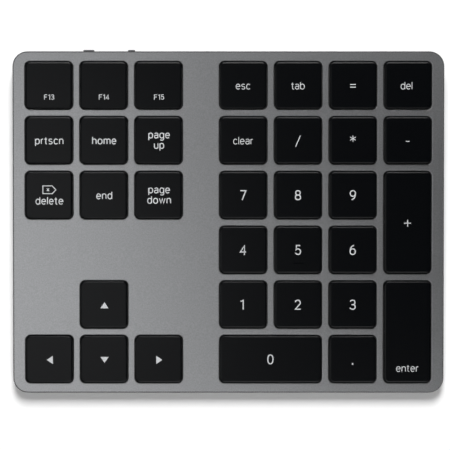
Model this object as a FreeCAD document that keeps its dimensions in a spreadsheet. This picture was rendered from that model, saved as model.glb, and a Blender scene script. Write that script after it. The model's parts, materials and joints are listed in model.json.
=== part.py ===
"""Numeric keypad with an aluminium case, scissor keys and a USB-C port. Millimetres.

X runs to the right, Y to the rear edge and Z up. The origin is on the surface the keypad
stands on, under the middle of the case. The deck rises to the rear, so the keys and all
that carries them are drawn level in a deck frame, whose z is 0 on the deck's surface,
and their Placement tilts them.
"""
import FreeCAD, Part
import math
import os

import Sketcher
from FreeCAD import Placement, Rotation, Vector

doc = FreeCAD.newDocument("numeric_keypad")

# ---------------------------------------------------------------- driving dimensions

SIZES = {
    # case
    "case_width": 150.0,
    "case_depth": 118.8,
    "case_corner": 5.2,
    "case_wall": 2.0,
    "deck_height": 7.83,
    "deck_tilt": 2.0,
    "deck_thickness": 1.2,
    "deck_chamfer": 0.3,
    "aperture_chamfer": 0.22,
    # keys
    "key_pitch": 19.05,
    "outer_column": 62.35,
    "aperture_width": 16.8,
    "aperture_corner": 1.85,
    "cap_width": 16.05,
    "cap_corner": 1.5,
    "cap_edge": 0.32,
    "cap_rise": 1.6,
    "cap_skirt": 0.4,
    "cap_wall": 0.9,
    "cap_top": 1.0,
    # key mechanism, as depths below the deck
    "membrane_top": 2.4,
    "plate_top": 2.65,
    "plate_bottom": 2.95,
    "plate_gap": 0.6,
    "lever_middle": 0.9,
    "lever_tilt": 12.0,
    "lever_length": 11.2,
    "lever_thickness": 0.55,
    "lever_bar": 1.15,
    "outer_lever_width": 12.4,
    "inner_lever_width": 9.6,
    "lever_rail": 1.1,
    "pivot_boss": 0.6,
    "pivot_pin": 0.28,
    "outer_hook": 5.2,
    "inner_hook": 3.4,
    "hook_width": 1.6,
    "wire_radius": 0.35,
    # bottom
    "foot_height": 0.6,
    "foot_recess": 0.3,
    "foot_radius": 5.0,
    "foot_inset_side": 13.0,
    "foot_inset_end": 13.4,
    "cover_thickness": 1.0,
    "cover_gap": 0.15,
    "boss_inset": 4.0,
    "boss_radius": 2.1,
    "screw_radius": 0.75,
    "screw_head": 1.45,
    # rear edge controls and port
    "port_middle": -41.0,
    "port_height": 4.6,
    "switch_middle": -48.7,
    "pairing_middle": -33.8,
    "control_reach": 0.8,
    "control_height": 1.5,
    "switch_knob_width": 3.75,
    "switch_travel": 2.0,
    "pairing_width": 2.4,
    "control_gap": 0.2,
    # electronics
    "board_bottom": 2.2,
    "board_thickness": 0.8,
    "board_left": -66.0,
    "board_right": -12.0,
    "board_front": 40.0,
    "board_rear": 56.6,
    "battery_left": 2.0,
    "battery_front": 4.0,
    "battery_length": 58.0,
    "battery_width": 34.0,
    "battery_thickness": 3.0,
    "tape_thickness": 0.15,
    "lead_radius": 0.45,
}

sizes = doc.addObject("Spreadsheet::Sheet", "sizes")
for row, (alias, number) in enumerate(SIZES.items(), start=1):
    sizes.set(f"A{row}", alias)
    sizes.set(f"B{row}", str(number))
    sizes.setAlias(f"B{row}", alias)
doc.recompute()

# ---------------------------------------------------------------- the keys

# name: (block, column, row, columns wide, rows deep); row 0 is the rear row
KEYS = {
    "f13": ("left", 0, 0, 1, 1),
    "f14": ("left", 1, 0, 1, 1),
    "f15": ("left", 2, 0, 1, 1),
    "print_screen": ("left", 0, 1, 1, 1),
    "home": ("left", 1, 1, 1, 1),
    "page_up": ("left", 2, 1, 1, 1),
    "delete_forward": ("left", 0, 2, 1, 1),
    "end": ("left", 1, 2, 1, 1),
    "page_down": ("left", 2, 2, 1, 1),
    "arrow_up": ("left", 1, 4, 1, 1),
    "arrow_left": ("left", 0, 5, 1, 1),
    "arrow_down": ("left", 1, 5, 1, 1),
    "arrow_right": ("left", 2, 5, 1, 1),
    "escape": ("right", 0, 0, 1, 1),
    "tab": ("right", 1, 0, 1, 1),
    "equals": ("right", 2, 0, 1, 1),
    "delete": ("right", 3, 0, 1, 1),
    "clear": ("right", 0, 1, 1, 1),
    "divide": ("right", 1, 1, 1, 1),
    "multiply": ("right", 2, 1, 1, 1),
    "minus": ("right", 3, 1, 1, 1),
    "seven": ("right", 0, 2, 1, 1),
    "eight": ("right", 1, 2, 1, 1),
    "nine": ("right", 2, 2, 1, 1),
    "plus": ("right", 3, 2, 1, 2),
    "four": ("right", 0, 3, 1, 1),
    "five": ("right", 1, 3, 1, 1),
    "six": ("right", 2, 3, 1, 1),
    "one": ("right", 0, 4, 1, 1),
    "two": ("right", 1, 4, 1, 1),
    "three": ("right", 2, 4, 1, 1),
    "enter": ("right", 3, 4, 1, 2),
    "zero": ("right", 0, 5, 2, 1),
    "point": ("right", 2, 5, 1, 1),
}
ROWS = 6
LAST_COLUMN = 3
LEFT_COLUMN = "-sizes.outer_column"
RIGHT_COLUMN = f"(sizes.outer_column - {LAST_COLUMN} * sizes.key_pitch)"

DECK = "placement(vector(0; 0; sizes.deck_height); rotation(vector(1; 0; 0); sizes.deck_tilt))"
WORLD = "placement(vector(0; 0; 0); rotation(vector(1; 0; 0); 0))"


def at(x, y, z, axis="0; 0; 1", angle="0"):
    """The expression of a placement at x, y, z, each a number or an expression."""
    return f"placement(vector({x}; {y}; {z}); rotation(vector({axis}); {angle}))"


def column_x(block, column):
    first = LEFT_COLUMN if block == "left" else RIGHT_COLUMN
    return f"({first} + {column} * sizes.key_pitch)"


def row_y(row):
    return f"({(ROWS - 1) / 2 - row} * sizes.key_pitch)"


def key_middle(key):
    block, column, row, wide, deep = KEYS[key]
    return column_x(block, column + (wide - 1) / 2), row_y(row + (deep - 1) / 2)


def key_place(key):
    """A key's frame on the deck. A long key's local X lies along its long side."""
    x, y = key_middle(key)
    deep = KEYS[key][4]
    return f"{DECK} * {at(x, y, 0, angle=90 if deep > 1 else 0)}"


def key_length(key, one_unit):
    """The length of a key along its local X, from the length of a single key."""
    return f"{one_unit} + {max(KEYS[key][3:]) - 1} * sizes.key_pitch"


LONG_KEYS = [key for key in KEYS if max(KEYS[key][3:]) > 1]

# ---------------------------------------------------------------- helpers

parts = []


def value(expression):
    """The number that an expression over the sheet gives now."""
    return sizes.evalExpression(str(expression))


def bind(item, **expressions):
    for name, expression in expressions.items():
        item.setExpression(name, str(expression))
    return item


def new_body(label, place=WORLD):
    body = doc.addObject("PartDesign::Body", label)
    body.Label = label
    bind(body, Placement=place)
    parts.append(body)
    return body


def block(body, kind, length, width, height, place):
    """A box, Additive or Subtractive, whose lowest corner is at the placement."""
    box = body.newObject(f"PartDesign::{kind}Box", f"{body.Name}_block")
    return bind(box, Length=length, Width=width, Height=height, Placement=place)


def centred_block(body, kind, length, width, height, x, y, z, frame=WORLD):
    """A box whose middle in plan is at x, y and whose underside is at z."""
    corner = at(f"{x} - ({length}) / 2", f"{y} - ({width}) / 2", z)
    return block(body, kind, length, width, height, f"{frame} * {corner}")


def round_bar(body, kind, radius, height, place):
    bar = body.newObject(f"PartDesign::{kind}Cylinder", f"{body.Name}_round")
    return bind(bar, Radius=radius, Height=height, Placement=place)


def cone(body, kind, low_radius, high_radius, height, place):
    item = body.newObject(f"PartDesign::{kind}Cone", f"{body.Name}_cone")
    return bind(item, Radius1=low_radius, Radius2=high_radius, Height=height, Placement=place)


def polygon(body, plane, corners):
    """A closed sketch of straight lines whose corners are pairs of expressions."""
    sketch = body.newObject("Sketcher::SketchObject", f"{body.Name}_sketch")
    support = next(item for item in body.Origin.OriginFeatures if item.Role == plane)
    sketch.AttachmentSupport = [(support, "")]
    sketch.MapMode = "FlatFace"
    guesses = [Vector(value(across), value(along), 0) for across, along in corners]
    count = len(corners)
    for index, start in enumerate(guesses):
        sketch.addGeometry(Part.LineSegment(start, guesses[(index + 1) % count]), False)
    for index in range(count):
        sketch.addConstraint(Sketcher.Constraint("Coincident", index, 2, (index + 1) % count, 1))
    for index, (corner, guess) in enumerate(zip(corners, guesses)):
        for kind, expression, start in zip(("DistanceX", "DistanceY"), corner, (guess.x, guess.y)):
            number = sketch.addConstraint(Sketcher.Constraint(kind, -1, 1, index, 1, start))
            bind(sketch, **{f"Constraints[{number}]": expression})
    return sketch


def across_both_sides(body, kind, sketch, length):
    """A pad or pocket that runs the same way to both sides of its sketch."""
    item = body.newObject(f"PartDesign::{kind}", f"{body.Name}_{kind.lower()}")
    item.Profile = sketch
    item.SideType = "Symmetric"
    return bind(item, Length=length)


def dress(body, kind, edges, size):
    """A Fillet or Chamfer on the edges of the body's tip that pass the test."""
    doc.recompute()
    tip = body.Tip
    names = [f"Edge{i}" for i, edge in enumerate(tip.Shape.Edges, start=1) if edges(edge)]
    item = body.newObject(f"PartDesign::{kind}", f"{body.Name}_{kind.lower()}")
    item.Base = (tip, names)
    return bind(item, **{"Radius" if kind == "Fillet" else "Size": size})


def runs_along(edge, direction):
    if not isinstance(edge.Curve, Part.Line):
        return False
    return abs(edge.tangentAt(edge.FirstParameter).dot(direction)) > 0.9999


def upright(edge):
    return runs_along(edge, Vector(0, 0, 1))


def along_y(edge):
    return runs_along(edge, Vector(0, 1, 0))


def at_height(z, slack=0.001):
    """A test for edges that lie level at z in the body's own frame."""
    return lambda edge: edge.BoundBox.ZMin > z - slack and edge.BoundBox.ZMax < z + slack


def one_solid(label, shape, place):
    """A part whose shape is made here, from sizes read from the sheet."""
    item = doc.addObject("Part::Feature", label)
    item.Label = label
    item.Shape = shape.removeSplitter() if shape.ShapeType != "Compound" else shape
    bind(item, Placement=place)
    parts.append(item)
    return item


def middled_box(length, width, height, x, y, z):
    """A plain box shape with its middle in plan at x, y and its underside at z."""
    return Part.makeBox(length, width, height, Vector(x - length / 2, y - width / 2, z))


def rounded_slab(length, width, height, corner, x, y, z):
    slab = middled_box(length, width, height, x, y, z)
    return slab.makeFillet(corner, [edge for edge in slab.Edges if upright(edge)])


def deck_frame():
    """The deck frame's place in the keypad's frame."""
    tilt = Rotation(Vector(1, 0, 0), sizes.deck_tilt)
    return Placement(Vector(0, 0, sizes.deck_height), tilt)


def deck_point(x, y, z=0.0):
    """A point of the deck frame in the keypad's frame."""
    return deck_frame().multVec(Vector(x, y, z))


def key_frames(keys):
    """Each key's place within the deck frame, as a Placement."""
    frames = []
    for key in keys:
        x, y = key_middle(key)
        angle = 90 if KEYS[key][4] > 1 else 0
        frames.append(Placement(Vector(value(x), value(y), 0), Rotation(Vector(0, 0, 1), angle)))
    return frames


def copies(shape, frames):
    """One compound that holds the shape at each frame, as separate solids."""
    return Part.makeCompound([shape.transformed(frame.toMatrix(), True) for frame in frames])


# ---------------------------------------------------------------- fixing places

SIDE_BOSS = "(sizes.case_width / 2 - sizes.boss_inset)"
END_BOSS = "(sizes.case_depth / 2 - sizes.boss_inset)"
MIDDLE_X = f"(({column_x('left', 2)} + {column_x('right', 0)}) / 2)"
COVER_SCREWS = [(f"{sign} * {SIDE_BOSS}", f"{end} * {END_BOSS}") for sign in (-1, 1) for end in (-1, 1)]
COVER_SCREWS += [(MIDDLE_X, f"{end} * {END_BOSS}") for end in (-1, 1)]
COVER_SCREWS += [(f"{sign} * {SIDE_BOSS}", "0") for sign in (-1, 1)]


def crossing(block_name, column, row):
    """The middle of the web where four apertures meet, after this column and row."""
    return column_x(block_name, column + 0.5), row_y(row + 0.5)


PLATE_SCREWS = [crossing("left", column, row) for column in (0, 1) for row in (0, 1, 4)]
PLATE_SCREWS += [crossing("right", column, row) for column in (0, 2) for row in (0, 2, 4)]
PLATE_SCREWS += [(MIDDLE_X, row_y(row)) for row in (1, 2.5, 4)]
PLATE_SCREW_RADIUS = 0.5
PLATE_BOSS_RADIUS = 1.0
PLATE_HEAD_RADIUS = 0.95
PLATE_HEAD = 0.45

BOARD_SCREW_INSET_X = 2.6
BOARD_SCREW_INSET_Y = 2.4
BOARD_SCREWS = [
    (
        f"sizes.board_{side} + {sign * BOARD_SCREW_INSET_X}",
        f"sizes.board_{end} + {step * BOARD_SCREW_INSET_Y}",
    )
    for side, sign in (("left", 1), ("right", -1))
    for end, step in (("front", 1), ("rear", -1))
]

FEET = [
    (f"{sign} * (sizes.case_width / 2 - sizes.foot_inset_side)",
     f"{end} * (sizes.case_depth / 2 - sizes.foot_inset_end)")
    for sign in (-1, 1)
    for end in (-1, 1)
]

# ---------------------------------------------------------------- case

DECK_RISE = "tan(sizes.deck_tilt)"
COVER_TOP = "(sizes.foot_height + sizes.cover_thickness)"
SWITCH_SLOT_MIDDLE = "sizes.switch_middle - sizes.switch_travel / 2"
PORT_WIDTH = 8.94
PORT_DEPTH = 3.16
PORT_LENGTH = 7.35
PORT_WALL = 0.3
PORT_GAP = 0.2
PORT_RECESS = 0.25
BOSS_TO_PLATE = 0.15
SCREW_HOLE_DEPTH = 1.2
THREAD_GAP = 0.02


def below_deck(y, depth):
    """The height, at y, of the plane that lies this depth under the deck."""
    return f"sizes.deck_height + ({y}) * {DECK_RISE} - ({depth}) / cos(sizes.deck_tilt)"


def make_case_shell():
    """The case before its key openings: wedge, cavity, cover bosses and rear openings."""
    body = new_body("top_case_shell")
    parts.remove(body)
    half = "sizes.case_depth / 2"
    outline = polygon(body, "YZ_Plane", [
        (f"-{half}", "sizes.foot_height"),
        (half, "sizes.foot_height"),
        (half, below_deck(half, "0")),
        (f"-{half}", below_deck(f"-{half}", "0")),
    ])
    across_both_sides(body, "Pad", outline, "sizes.case_width")
    dress(body, "Fillet", upright, "sizes.case_corner")
    dress(body, "Chamfer", on_deck, "sizes.deck_chamfer")
    inner = "(sizes.case_depth / 2 - sizes.case_wall)"
    cavity = polygon(body, "YZ_Plane", [
        (f"-{inner}", "sizes.foot_height - 1"),
        (inner, "sizes.foot_height - 1"),
        (inner, below_deck(inner, "sizes.deck_thickness")),
        (f"-{inner}", below_deck(f"-{inner}", "sizes.deck_thickness")),
    ])
    across_both_sides(body, "Pocket", cavity, "sizes.case_width - 2 * sizes.case_wall")
    wall = sizes.case_width / 2 - sizes.case_wall
    dress(body, "Fillet", lambda edge: upright(edge) and abs(abs(edge.CenterOfMass.x) - wall) < 0.01,
          "sizes.case_corner - sizes.case_wall")
    cut_rear_openings(body)
    for x, y in COVER_SCREWS:
        height = f"{below_deck(y, f'sizes.plate_bottom + {BOSS_TO_PLATE}')} - {COVER_TOP}"
        round_bar(body, "Additive", "sizes.boss_radius", height, at(x, y, COVER_TOP))
    for x, y in COVER_SCREWS:
        round_bar(body, "Subtractive", f"sizes.screw_radius + {THREAD_GAP}", SCREW_HOLE_DEPTH,
                  at(x, y, COVER_TOP))
    return body


def on_deck(edge):
    """Whether both ends of an edge lie on the deck's surface."""
    deck = deck_frame()
    ends = [edge.valueAt(edge.FirstParameter), edge.valueAt(edge.LastParameter)]
    return all(abs(deck.inverse().multVec(end).z) < 0.001 for end in ends)


def rounded_outline(length, width, corner, z):
    """The outline of a rounded rectangle about the origin, as one wire."""
    slab = rounded_slab(length, width, 1, corner, 0, 0, z)
    floor = next(face for face in slab.Faces if face.BoundBox.ZMax < z + 0.001)
    return floor.OuterWire


def aperture_cutter(long_key):
    """What is cut from the deck for one key: the opening and the chamfer round its rim."""
    length = sizes.aperture_width + (sizes.key_pitch if long_key else 0)
    width = sizes.aperture_width
    corner = sizes.aperture_corner
    chamfer = sizes.aperture_chamfer
    depth = sizes.deck_thickness + 0.1
    shaft = rounded_slab(length, width, depth + 1, corner, 0, 0, -depth)
    low = rounded_outline(length, width, corner, -chamfer)
    high = rounded_outline(length + 4 * chamfer, width + 4 * chamfer, corner + 2 * chamfer, chamfer)
    return [shaft.fuse(Part.makeLoft([low, high], True, True))]


def upright_pins(places, radius, low, high):
    """Round pins that stand at the places, given as pairs of expressions."""
    return [
        Part.makeCylinder(radius, high - low, Vector(value(x), value(y), low)) for x, y in places
    ]


def make_top_case():
    """The case: its shell with the plate's posts added, and the key openings cut."""
    posts = upright_pins(PLATE_SCREWS, PLATE_BOSS_RADIUS, -sizes.plate_top, -sizes.deck_thickness / 2)
    holes = upright_pins(PLATE_SCREWS, PLATE_SCREW_RADIUS + THREAD_GAP, -sizes.plate_top - 1,
                         -sizes.deck_thickness - 0.2)
    added = doc.addObject("Part::Feature", "plate_posts")
    added.Shape = Part.makeCompound(posts)
    removed = doc.addObject("Part::Feature", "deck_openings")
    removed.Shape = Part.makeCompound(all_keys_with(aperture_cutter) + holes)
    for item in (added, removed):
        bind(item, Placement=DECK)
    whole = doc.addObject("Part::Fuse", "top_case_with_posts")
    whole.Base = make_case_shell()
    whole.Tool = added
    case = doc.addObject("Part::Cut", "top_case")
    case.Base = whole
    case.Tool = removed
    parts.append(case)


def cut_rear_openings(body):
    """The openings in the rear wall for the power switch, the USB-C port and the pairing button."""
    wall = "sizes.case_depth / 2 - sizes.case_wall / 2"
    depth = "sizes.case_wall + 0.4"
    gap = "2 * sizes.control_gap"
    low = "sizes.port_height - sizes.control_height / 2 - sizes.control_gap"
    centred_block(body, "Subtractive", f"sizes.switch_knob_width + sizes.switch_travel + {gap}", depth,
                  f"sizes.control_height + {gap}", SWITCH_SLOT_MIDDLE, wall, low)
    centred_block(body, "Subtractive", f"sizes.pairing_width + {gap}", depth,
                  f"sizes.control_height + {gap}", "sizes.pairing_middle", wall, low)
    centred_block(body, "Subtractive", PORT_WIDTH + 2 * PORT_GAP, depth, PORT_DEPTH + 2 * PORT_GAP,
                  "sizes.port_middle", wall, f"sizes.port_height - {PORT_DEPTH / 2 + PORT_GAP}")

    def port_corner(edge):
        near = abs(edge.CenterOfMass.x - sizes.port_middle) < PORT_WIDTH / 2 + PORT_GAP + 0.01
        return along_y(edge) and edge.Length < sizes.case_wall + 0.01 and near

    dress(body, "Fillet", port_corner, PORT_DEPTH / 2 + PORT_GAP - 0.05)


COVER_CHAMFER = 0.2
STANDOFF_RADIUS = 2.0
STANDOFF_SINK = 0.3
STANDOFF_HOLE_DEPTH = 1.2
BOARD_SCREW_RADIUS = 0.7


def make_bottom_cover():
    body = new_body("bottom_cover")
    clear = "2 * (sizes.case_wall + sizes.cover_gap)"
    centred_block(body, "Additive", f"sizes.case_width - {clear}", f"sizes.case_depth - {clear}",
                  "sizes.cover_thickness", 0, 0, "sizes.foot_height")
    dress(body, "Fillet", upright, "sizes.case_corner - sizes.case_wall - sizes.cover_gap")
    dress(body, "Chamfer", at_height(sizes.foot_height), COVER_CHAMFER)
    low = f"sizes.foot_height + {STANDOFF_SINK}"
    for x, y in BOARD_SCREWS:
        round_bar(body, "Additive", STANDOFF_RADIUS, f"sizes.board_bottom - ({low})", at(x, y, low))
    for x, y in BOARD_SCREWS:
        round_bar(body, "Subtractive", BOARD_SCREW_RADIUS + THREAD_GAP, STANDOFF_HOLE_DEPTH + 0.1,
                  at(x, y, f"sizes.board_bottom - {STANDOFF_HOLE_DEPTH}"))
    head_depth = "(sizes.screw_head - sizes.screw_radius)"
    for x, y in COVER_SCREWS:
        round_bar(body, "Subtractive", "sizes.screw_radius + 0.1", "sizes.cover_thickness + 0.2",
                  at(x, y, "sizes.foot_height - 0.1"))
        cone(body, "Subtractive", "sizes.screw_head + 0.05", "sizes.screw_radius + 0.05", head_depth,
             at(x, y, "sizes.foot_height"))
    for x, y in FEET:
        round_bar(body, "Subtractive", "sizes.foot_radius + 0.1", "sizes.foot_recess",
                  at(x, y, "sizes.foot_height"))
    return body


def make_rubber_feet():
    foot = Part.makeCylinder(sizes.foot_radius, sizes.foot_height + sizes.foot_recess)
    lower_rim = [edge for edge in foot.Edges if at_height(0)(edge)]
    foot = foot.makeFillet(sizes.foot_height / 2, lower_rim)
    frames = [Placement(Vector(value(x), value(y), 0), Rotation()) for x, y in FEET]
    one_solid("rubber_feet", copies(foot, frames), WORLD)


def cross_recess(radius, depth):
    """The cutter of a cross recess that opens downwards at z 0."""
    arm = radius * 1.1
    slot = radius * 0.3
    return middled_box(arm, slot, depth, 0, 0, 0).fuse(middled_box(slot, arm, depth, 0, 0, 0))


def make_cover_screws():
    """Countersunk screws that point up, their heads level with the cover's underside."""
    head_depth = sizes.screw_head - sizes.screw_radius
    length = sizes.cover_thickness + 1.1
    shank = Part.makeCylinder(sizes.screw_radius, length)
    head = Part.makeCone(sizes.screw_head, sizes.screw_radius, head_depth)
    screw = shank.fuse(head).removeSplitter().cut(cross_recess(sizes.screw_head, 0.45))
    height = sizes.foot_height + 0.03
    frames = [Placement(Vector(value(x), value(y), height), Rotation()) for x, y in COVER_SCREWS]
    one_solid("cover_screws", copies(screw, frames), WORLD)


# ---------------------------------------------------------------- keycaps

CLIP_WALL = 0.35
CLIP_DROP = 1.05
CLIP_LIP = 0.2
CLIP_OUTER = 6.1
LIP_REACH = 0.9
HOMING_BAR_LENGTH = 3.7
HOMING_BAR_WIDTH = 0.4
HOMING_BAR_INSET = 3.4
HOMING_BAR_RISE = 0.22


def clip_on_cap(body, x, side):
    """A clip under the cap, on the +Y or -Y side, whose lip reaches in under a lever's bar."""
    ceiling = "sizes.cap_rise - sizes.cap_top"
    tab_y = side * (CLIP_OUTER - CLIP_WALL / 2)
    lip_y = side * (CLIP_OUTER - LIP_REACH / 2)
    low = f"{ceiling} - {CLIP_DROP}"
    centred_block(body, "Additive", "sizes.hook_width", CLIP_WALL, CLIP_DROP + 0.1, x, tab_y, low)
    centred_block(body, "Additive", "sizes.hook_width", LIP_REACH, CLIP_LIP, x, lip_y, low)


def make_keycap(key):
    body = new_body(f"key_{key}", key_place(key))
    length = key_length(key, "sizes.cap_width")
    centred_block(body, "Additive", length, "sizes.cap_width", "sizes.cap_rise + sizes.cap_skirt",
                  0, 0, "-sizes.cap_skirt")
    dress(body, "Fillet", upright, "sizes.cap_corner")
    dress(body, "Fillet", at_height(sizes.cap_rise), "sizes.cap_edge")
    hollow = "2 * sizes.cap_wall"
    centred_block(body, "Subtractive", f"{length} - {hollow}", f"sizes.cap_width - {hollow}",
                  "sizes.cap_rise + sizes.cap_skirt - sizes.cap_top", 0, 0, "-sizes.cap_skirt")
    for sign in (-1, 1):
        clip_on_cap(body, f"{sign} * sizes.outer_hook", 1)
        clip_on_cap(body, f"{sign} * sizes.inner_hook", -1)
    if key in LONG_KEYS:
        for sign in (-1, 1):
            clip_on_cap(body, f"{sign} * {WIRE_CLIP}", 1)
    if key == "five":
        centred_block(body, "Additive", HOMING_BAR_LENGTH, HOMING_BAR_WIDTH, "0.3", 0,
                      f"-sizes.cap_width / 2 + {HOMING_BAR_INSET}",
                      f"sizes.cap_rise + {HOMING_BAR_RISE} - 0.3")
    return body


# ---------------------------------------------------------------- key mechanism

WIRE_CLIP = 10.5
WIRE_HALF = 14.5
WIRE_TOE = 1.9
WIRE_REAR = 6.5
WIRE_FRONT = 1.0
HOOK_WALL = 0.35
HOOK_LIP = 0.2
HOOK_RISE = 1.2


def hook_on_plate(x, side, width, outer=CLIP_OUTER):
    """A hook pressed up from the support plate, whose lip reaches in over a bar."""
    foot = -sizes.plate_top - 0.1
    tab = middled_box(width, HOOK_WALL, HOOK_RISE + 0.1, x, side * (outer - HOOK_WALL / 2), foot)
    lip_z = HOOK_RISE - sizes.plate_top - HOOK_LIP
    lip = middled_box(width, LIP_REACH, HOOK_LIP, x, side * (outer - LIP_REACH / 2), lip_z)
    return tab.fuse(lip).removeSplitter()


def hooks_of(long_key):
    hooks = []
    for sign in (-1, 1):
        hooks.append(hook_on_plate(sign * sizes.outer_hook, -1, sizes.hook_width))
        hooks.append(hook_on_plate(sign * sizes.inner_hook, 1, sizes.hook_width))
        if long_key:
            toe = sign * (WIRE_HALF - WIRE_TOE + 0.5)
            hooks.append(hook_on_plate(toe, 1, 1.0, WIRE_FRONT + 0.8))
    return hooks


def all_keys_with(make):
    """What make gives for a short and a long key, at every key's place."""
    short = [key for key in KEYS if key not in LONG_KEYS]
    return [
        item.transformed(frame.toMatrix(), True)
        for keys, long_key in ((short, False), (LONG_KEYS, True))
        for item in make(long_key)
        for frame in key_frames(keys)
    ]


def sheet_under_deck(gap, top, bottom):
    """A sheet that fills the case in plan but for a gap, between two depths."""
    inset = 2 * (sizes.case_wall + gap)
    return rounded_slab(sizes.case_width - inset, sizes.case_depth - inset, bottom - top,
                        sizes.case_corner - sizes.case_wall, 0, 0, -bottom)


TAIL_SLOT = 13.0


def tail_opening(height, bottom):
    return middled_box(TAIL_SLOT, 2.0, height, value(column_x("left", 2)), value(row_y(0.5)), bottom)


def make_support_plate():
    slab = sheet_under_deck(sizes.plate_gap, sizes.plate_top, sizes.plate_bottom)
    depth = sizes.plate_bottom - sizes.plate_top
    holes = [
        Part.makeCylinder(PLATE_SCREW_RADIUS + 0.1, depth + 2,
                          Vector(value(x), value(y), -sizes.plate_bottom - 1))
        for x, y in PLATE_SCREWS
    ]
    slab = slab.cut(holes + [tail_opening(depth + 2, -sizes.plate_bottom - 1)])
    one_solid("support_plate", slab.fuse(all_keys_with(hooks_of)), DECK)


def window_of(hook):
    """The opening that lets a hook through the membrane."""
    box = hook.BoundBox
    grow = 0.15
    return Part.makeBox(box.XLength + 2 * grow, box.YLength + 2 * grow, 4,
                        Vector(box.XMin - grow, box.YMin - grow, -5))


def make_switch_membrane():
    slab = sheet_under_deck(sizes.plate_gap + 0.3, sizes.membrane_top, sizes.plate_top)
    windows = [window_of(hook) for hook in all_keys_with(hooks_of)]
    holes = [
        Part.makeCylinder(PLATE_BOSS_RADIUS + 0.2, 2, Vector(value(x), value(y), -3.5))
        for x, y in PLATE_SCREWS
    ]
    one_solid("switch_membrane", slab.cut(windows + holes), DECK)


def make_plate_screws():
    """Pan-head screws that hold the support plate up to the posts under the deck."""
    underside = Vector(0, 0, -sizes.plate_bottom - PLATE_HEAD)
    head = Part.makeCylinder(PLATE_HEAD_RADIUS, PLATE_HEAD, underside)
    shank = Part.makeCylinder(PLATE_SCREW_RADIUS, 1.5, Vector(0, 0, -sizes.plate_bottom - 0.2))
    recess = cross_recess(PLATE_HEAD_RADIUS, 0.25).translated(underside)
    screw = shank.fuse(head).removeSplitter().cut(recess)
    frames = [Placement(Vector(value(x), value(y), 0), Rotation()) for x, y in PLATE_SCREWS]
    one_solid("plate_screws", copies(screw, frames), DECK)


def make_rubber_domes():
    """Hollow domes that stand on the membrane and almost touch the caps."""
    rise = sizes.membrane_top + sizes.cap_rise - sizes.cap_top - 0.06
    corners = [
        (0, rise), (1.6, rise), (1.75, rise - 0.9), (2.75, 0.45), (3.3, 0.3), (3.3, 0),
        (2.5, 0), (2.2, 0.4), (1.25, rise - 1.0), (0.8, rise - 1.0), (0.8, 1.2), (0, 1.2),
    ]
    points = [Vector(radius, 0, height - sizes.membrane_top) for radius, height in corners]
    profile = Part.Face(Part.makePolygon(points + points[:1]))
    dome = profile.revolve(Vector(), Vector(0, 0, 1), 360)
    one_solid("rubber_domes", copies(dome, key_frames(KEYS)), DECK)


def lever_frame(width, rail):
    """A level rectangular frame about the origin."""
    thick = sizes.lever_thickness
    length = sizes.lever_length
    frame = middled_box(width, length, thick, 0, 0, -thick / 2)
    opening = middled_box(width - 2 * rail, length - 2 * sizes.lever_bar, thick, 0, 0, -thick / 2)
    return frame.cut(opening)


def pivot(radius, start, end, sign):
    """A round bar along X between two distances from the middle, on one side."""
    return Part.makeCylinder(radius, end - start, Vector(sign * start, 0, 0), Vector(sign, 0, 0))


def make_scissor_levers():
    """The two frames of each scissor, crossed at their pivots."""
    outer_half = sizes.outer_lever_width / 2
    inner_half = sizes.inner_lever_width / 2
    outer_inside = outer_half - sizes.lever_rail
    outer = lever_frame(sizes.outer_lever_width, sizes.lever_rail)
    inner = lever_frame(sizes.inner_lever_width, sizes.lever_rail + 0.1)
    for sign in (-1, 1):
        outer = outer.fuse(pivot(sizes.pivot_boss, outer_inside, outer_half, sign))
        outer = outer.cut(pivot(sizes.pivot_pin + 0.05, outer_inside - 1, outer_half + 1, sign))
        inner = inner.fuse(pivot(sizes.pivot_pin, inner_half - 0.5, outer_half - 0.2, sign))
    middle = Vector(0, 0, -sizes.lever_middle)
    rises_to_rear = Placement(middle, Rotation(Vector(1, 0, 0), sizes.lever_tilt))
    rises_to_front = Placement(middle, Rotation(Vector(1, 0, 0), -sizes.lever_tilt))
    for label, frame, tilt in (("outer", outer, rises_to_rear), ("inner", inner, rises_to_front)):
        lever = frame.removeSplitter().transformed(tilt.toMatrix(), True)
        one_solid(f"scissor_{label}_levers", copies(lever, key_frames(KEYS)), DECK)


def wire_route(radius_of_bend, points):
    """Straight runs through the points, with a tangent arc at each one between."""
    edges = []
    start = points[0]
    for before, corner, after in zip(points, points[1:], points[2:]):
        back = (before - corner).normalize()
        ahead = (after - corner).normalize()
        half_angle = back.getAngle(ahead) / 2
        reach = radius_of_bend / math.tan(half_angle)
        arc_start = corner + back * reach
        arc_end = corner + ahead * reach
        bisector = (back + ahead).normalize()
        centre = corner + bisector * (radius_of_bend / math.sin(half_angle))
        arc_middle = centre - bisector * radius_of_bend
        edges.append(Part.makeLine(start, arc_start))
        edges.append(Part.Arc(arc_start, arc_middle, arc_end).toShape())
        start = arc_end
    edges.append(Part.makeLine(start, points[-1]))
    return Part.Wire(edges)


def round_sweep(route, radius):
    first = route.Edges[0]
    start = first.valueAt(first.FirstParameter)
    ring = Part.Wire(Part.makeCircle(radius, start, first.tangentAt(first.FirstParameter)))
    return route.makePipeShell([ring], True, False)


def make_stabiliser_wires():
    """The bent wires that keep the three long keys level."""
    high = 0.15
    low = 0.4 - sizes.membrane_top
    points = [
        Vector(WIRE_HALF - WIRE_TOE, WIRE_FRONT, low),
        Vector(WIRE_HALF, WIRE_FRONT, low),
        Vector(WIRE_HALF, WIRE_REAR, high),
        Vector(-WIRE_HALF, WIRE_REAR, high),
        Vector(-WIRE_HALF, WIRE_FRONT, low),
        Vector(WIRE_TOE - WIRE_HALF, WIRE_FRONT, low),
    ]
    wire = round_sweep(wire_route(0.8, points), sizes.wire_radius)
    one_solid("stabiliser_wires", copies(wire, key_frames(LONG_KEYS)), DECK)


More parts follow.
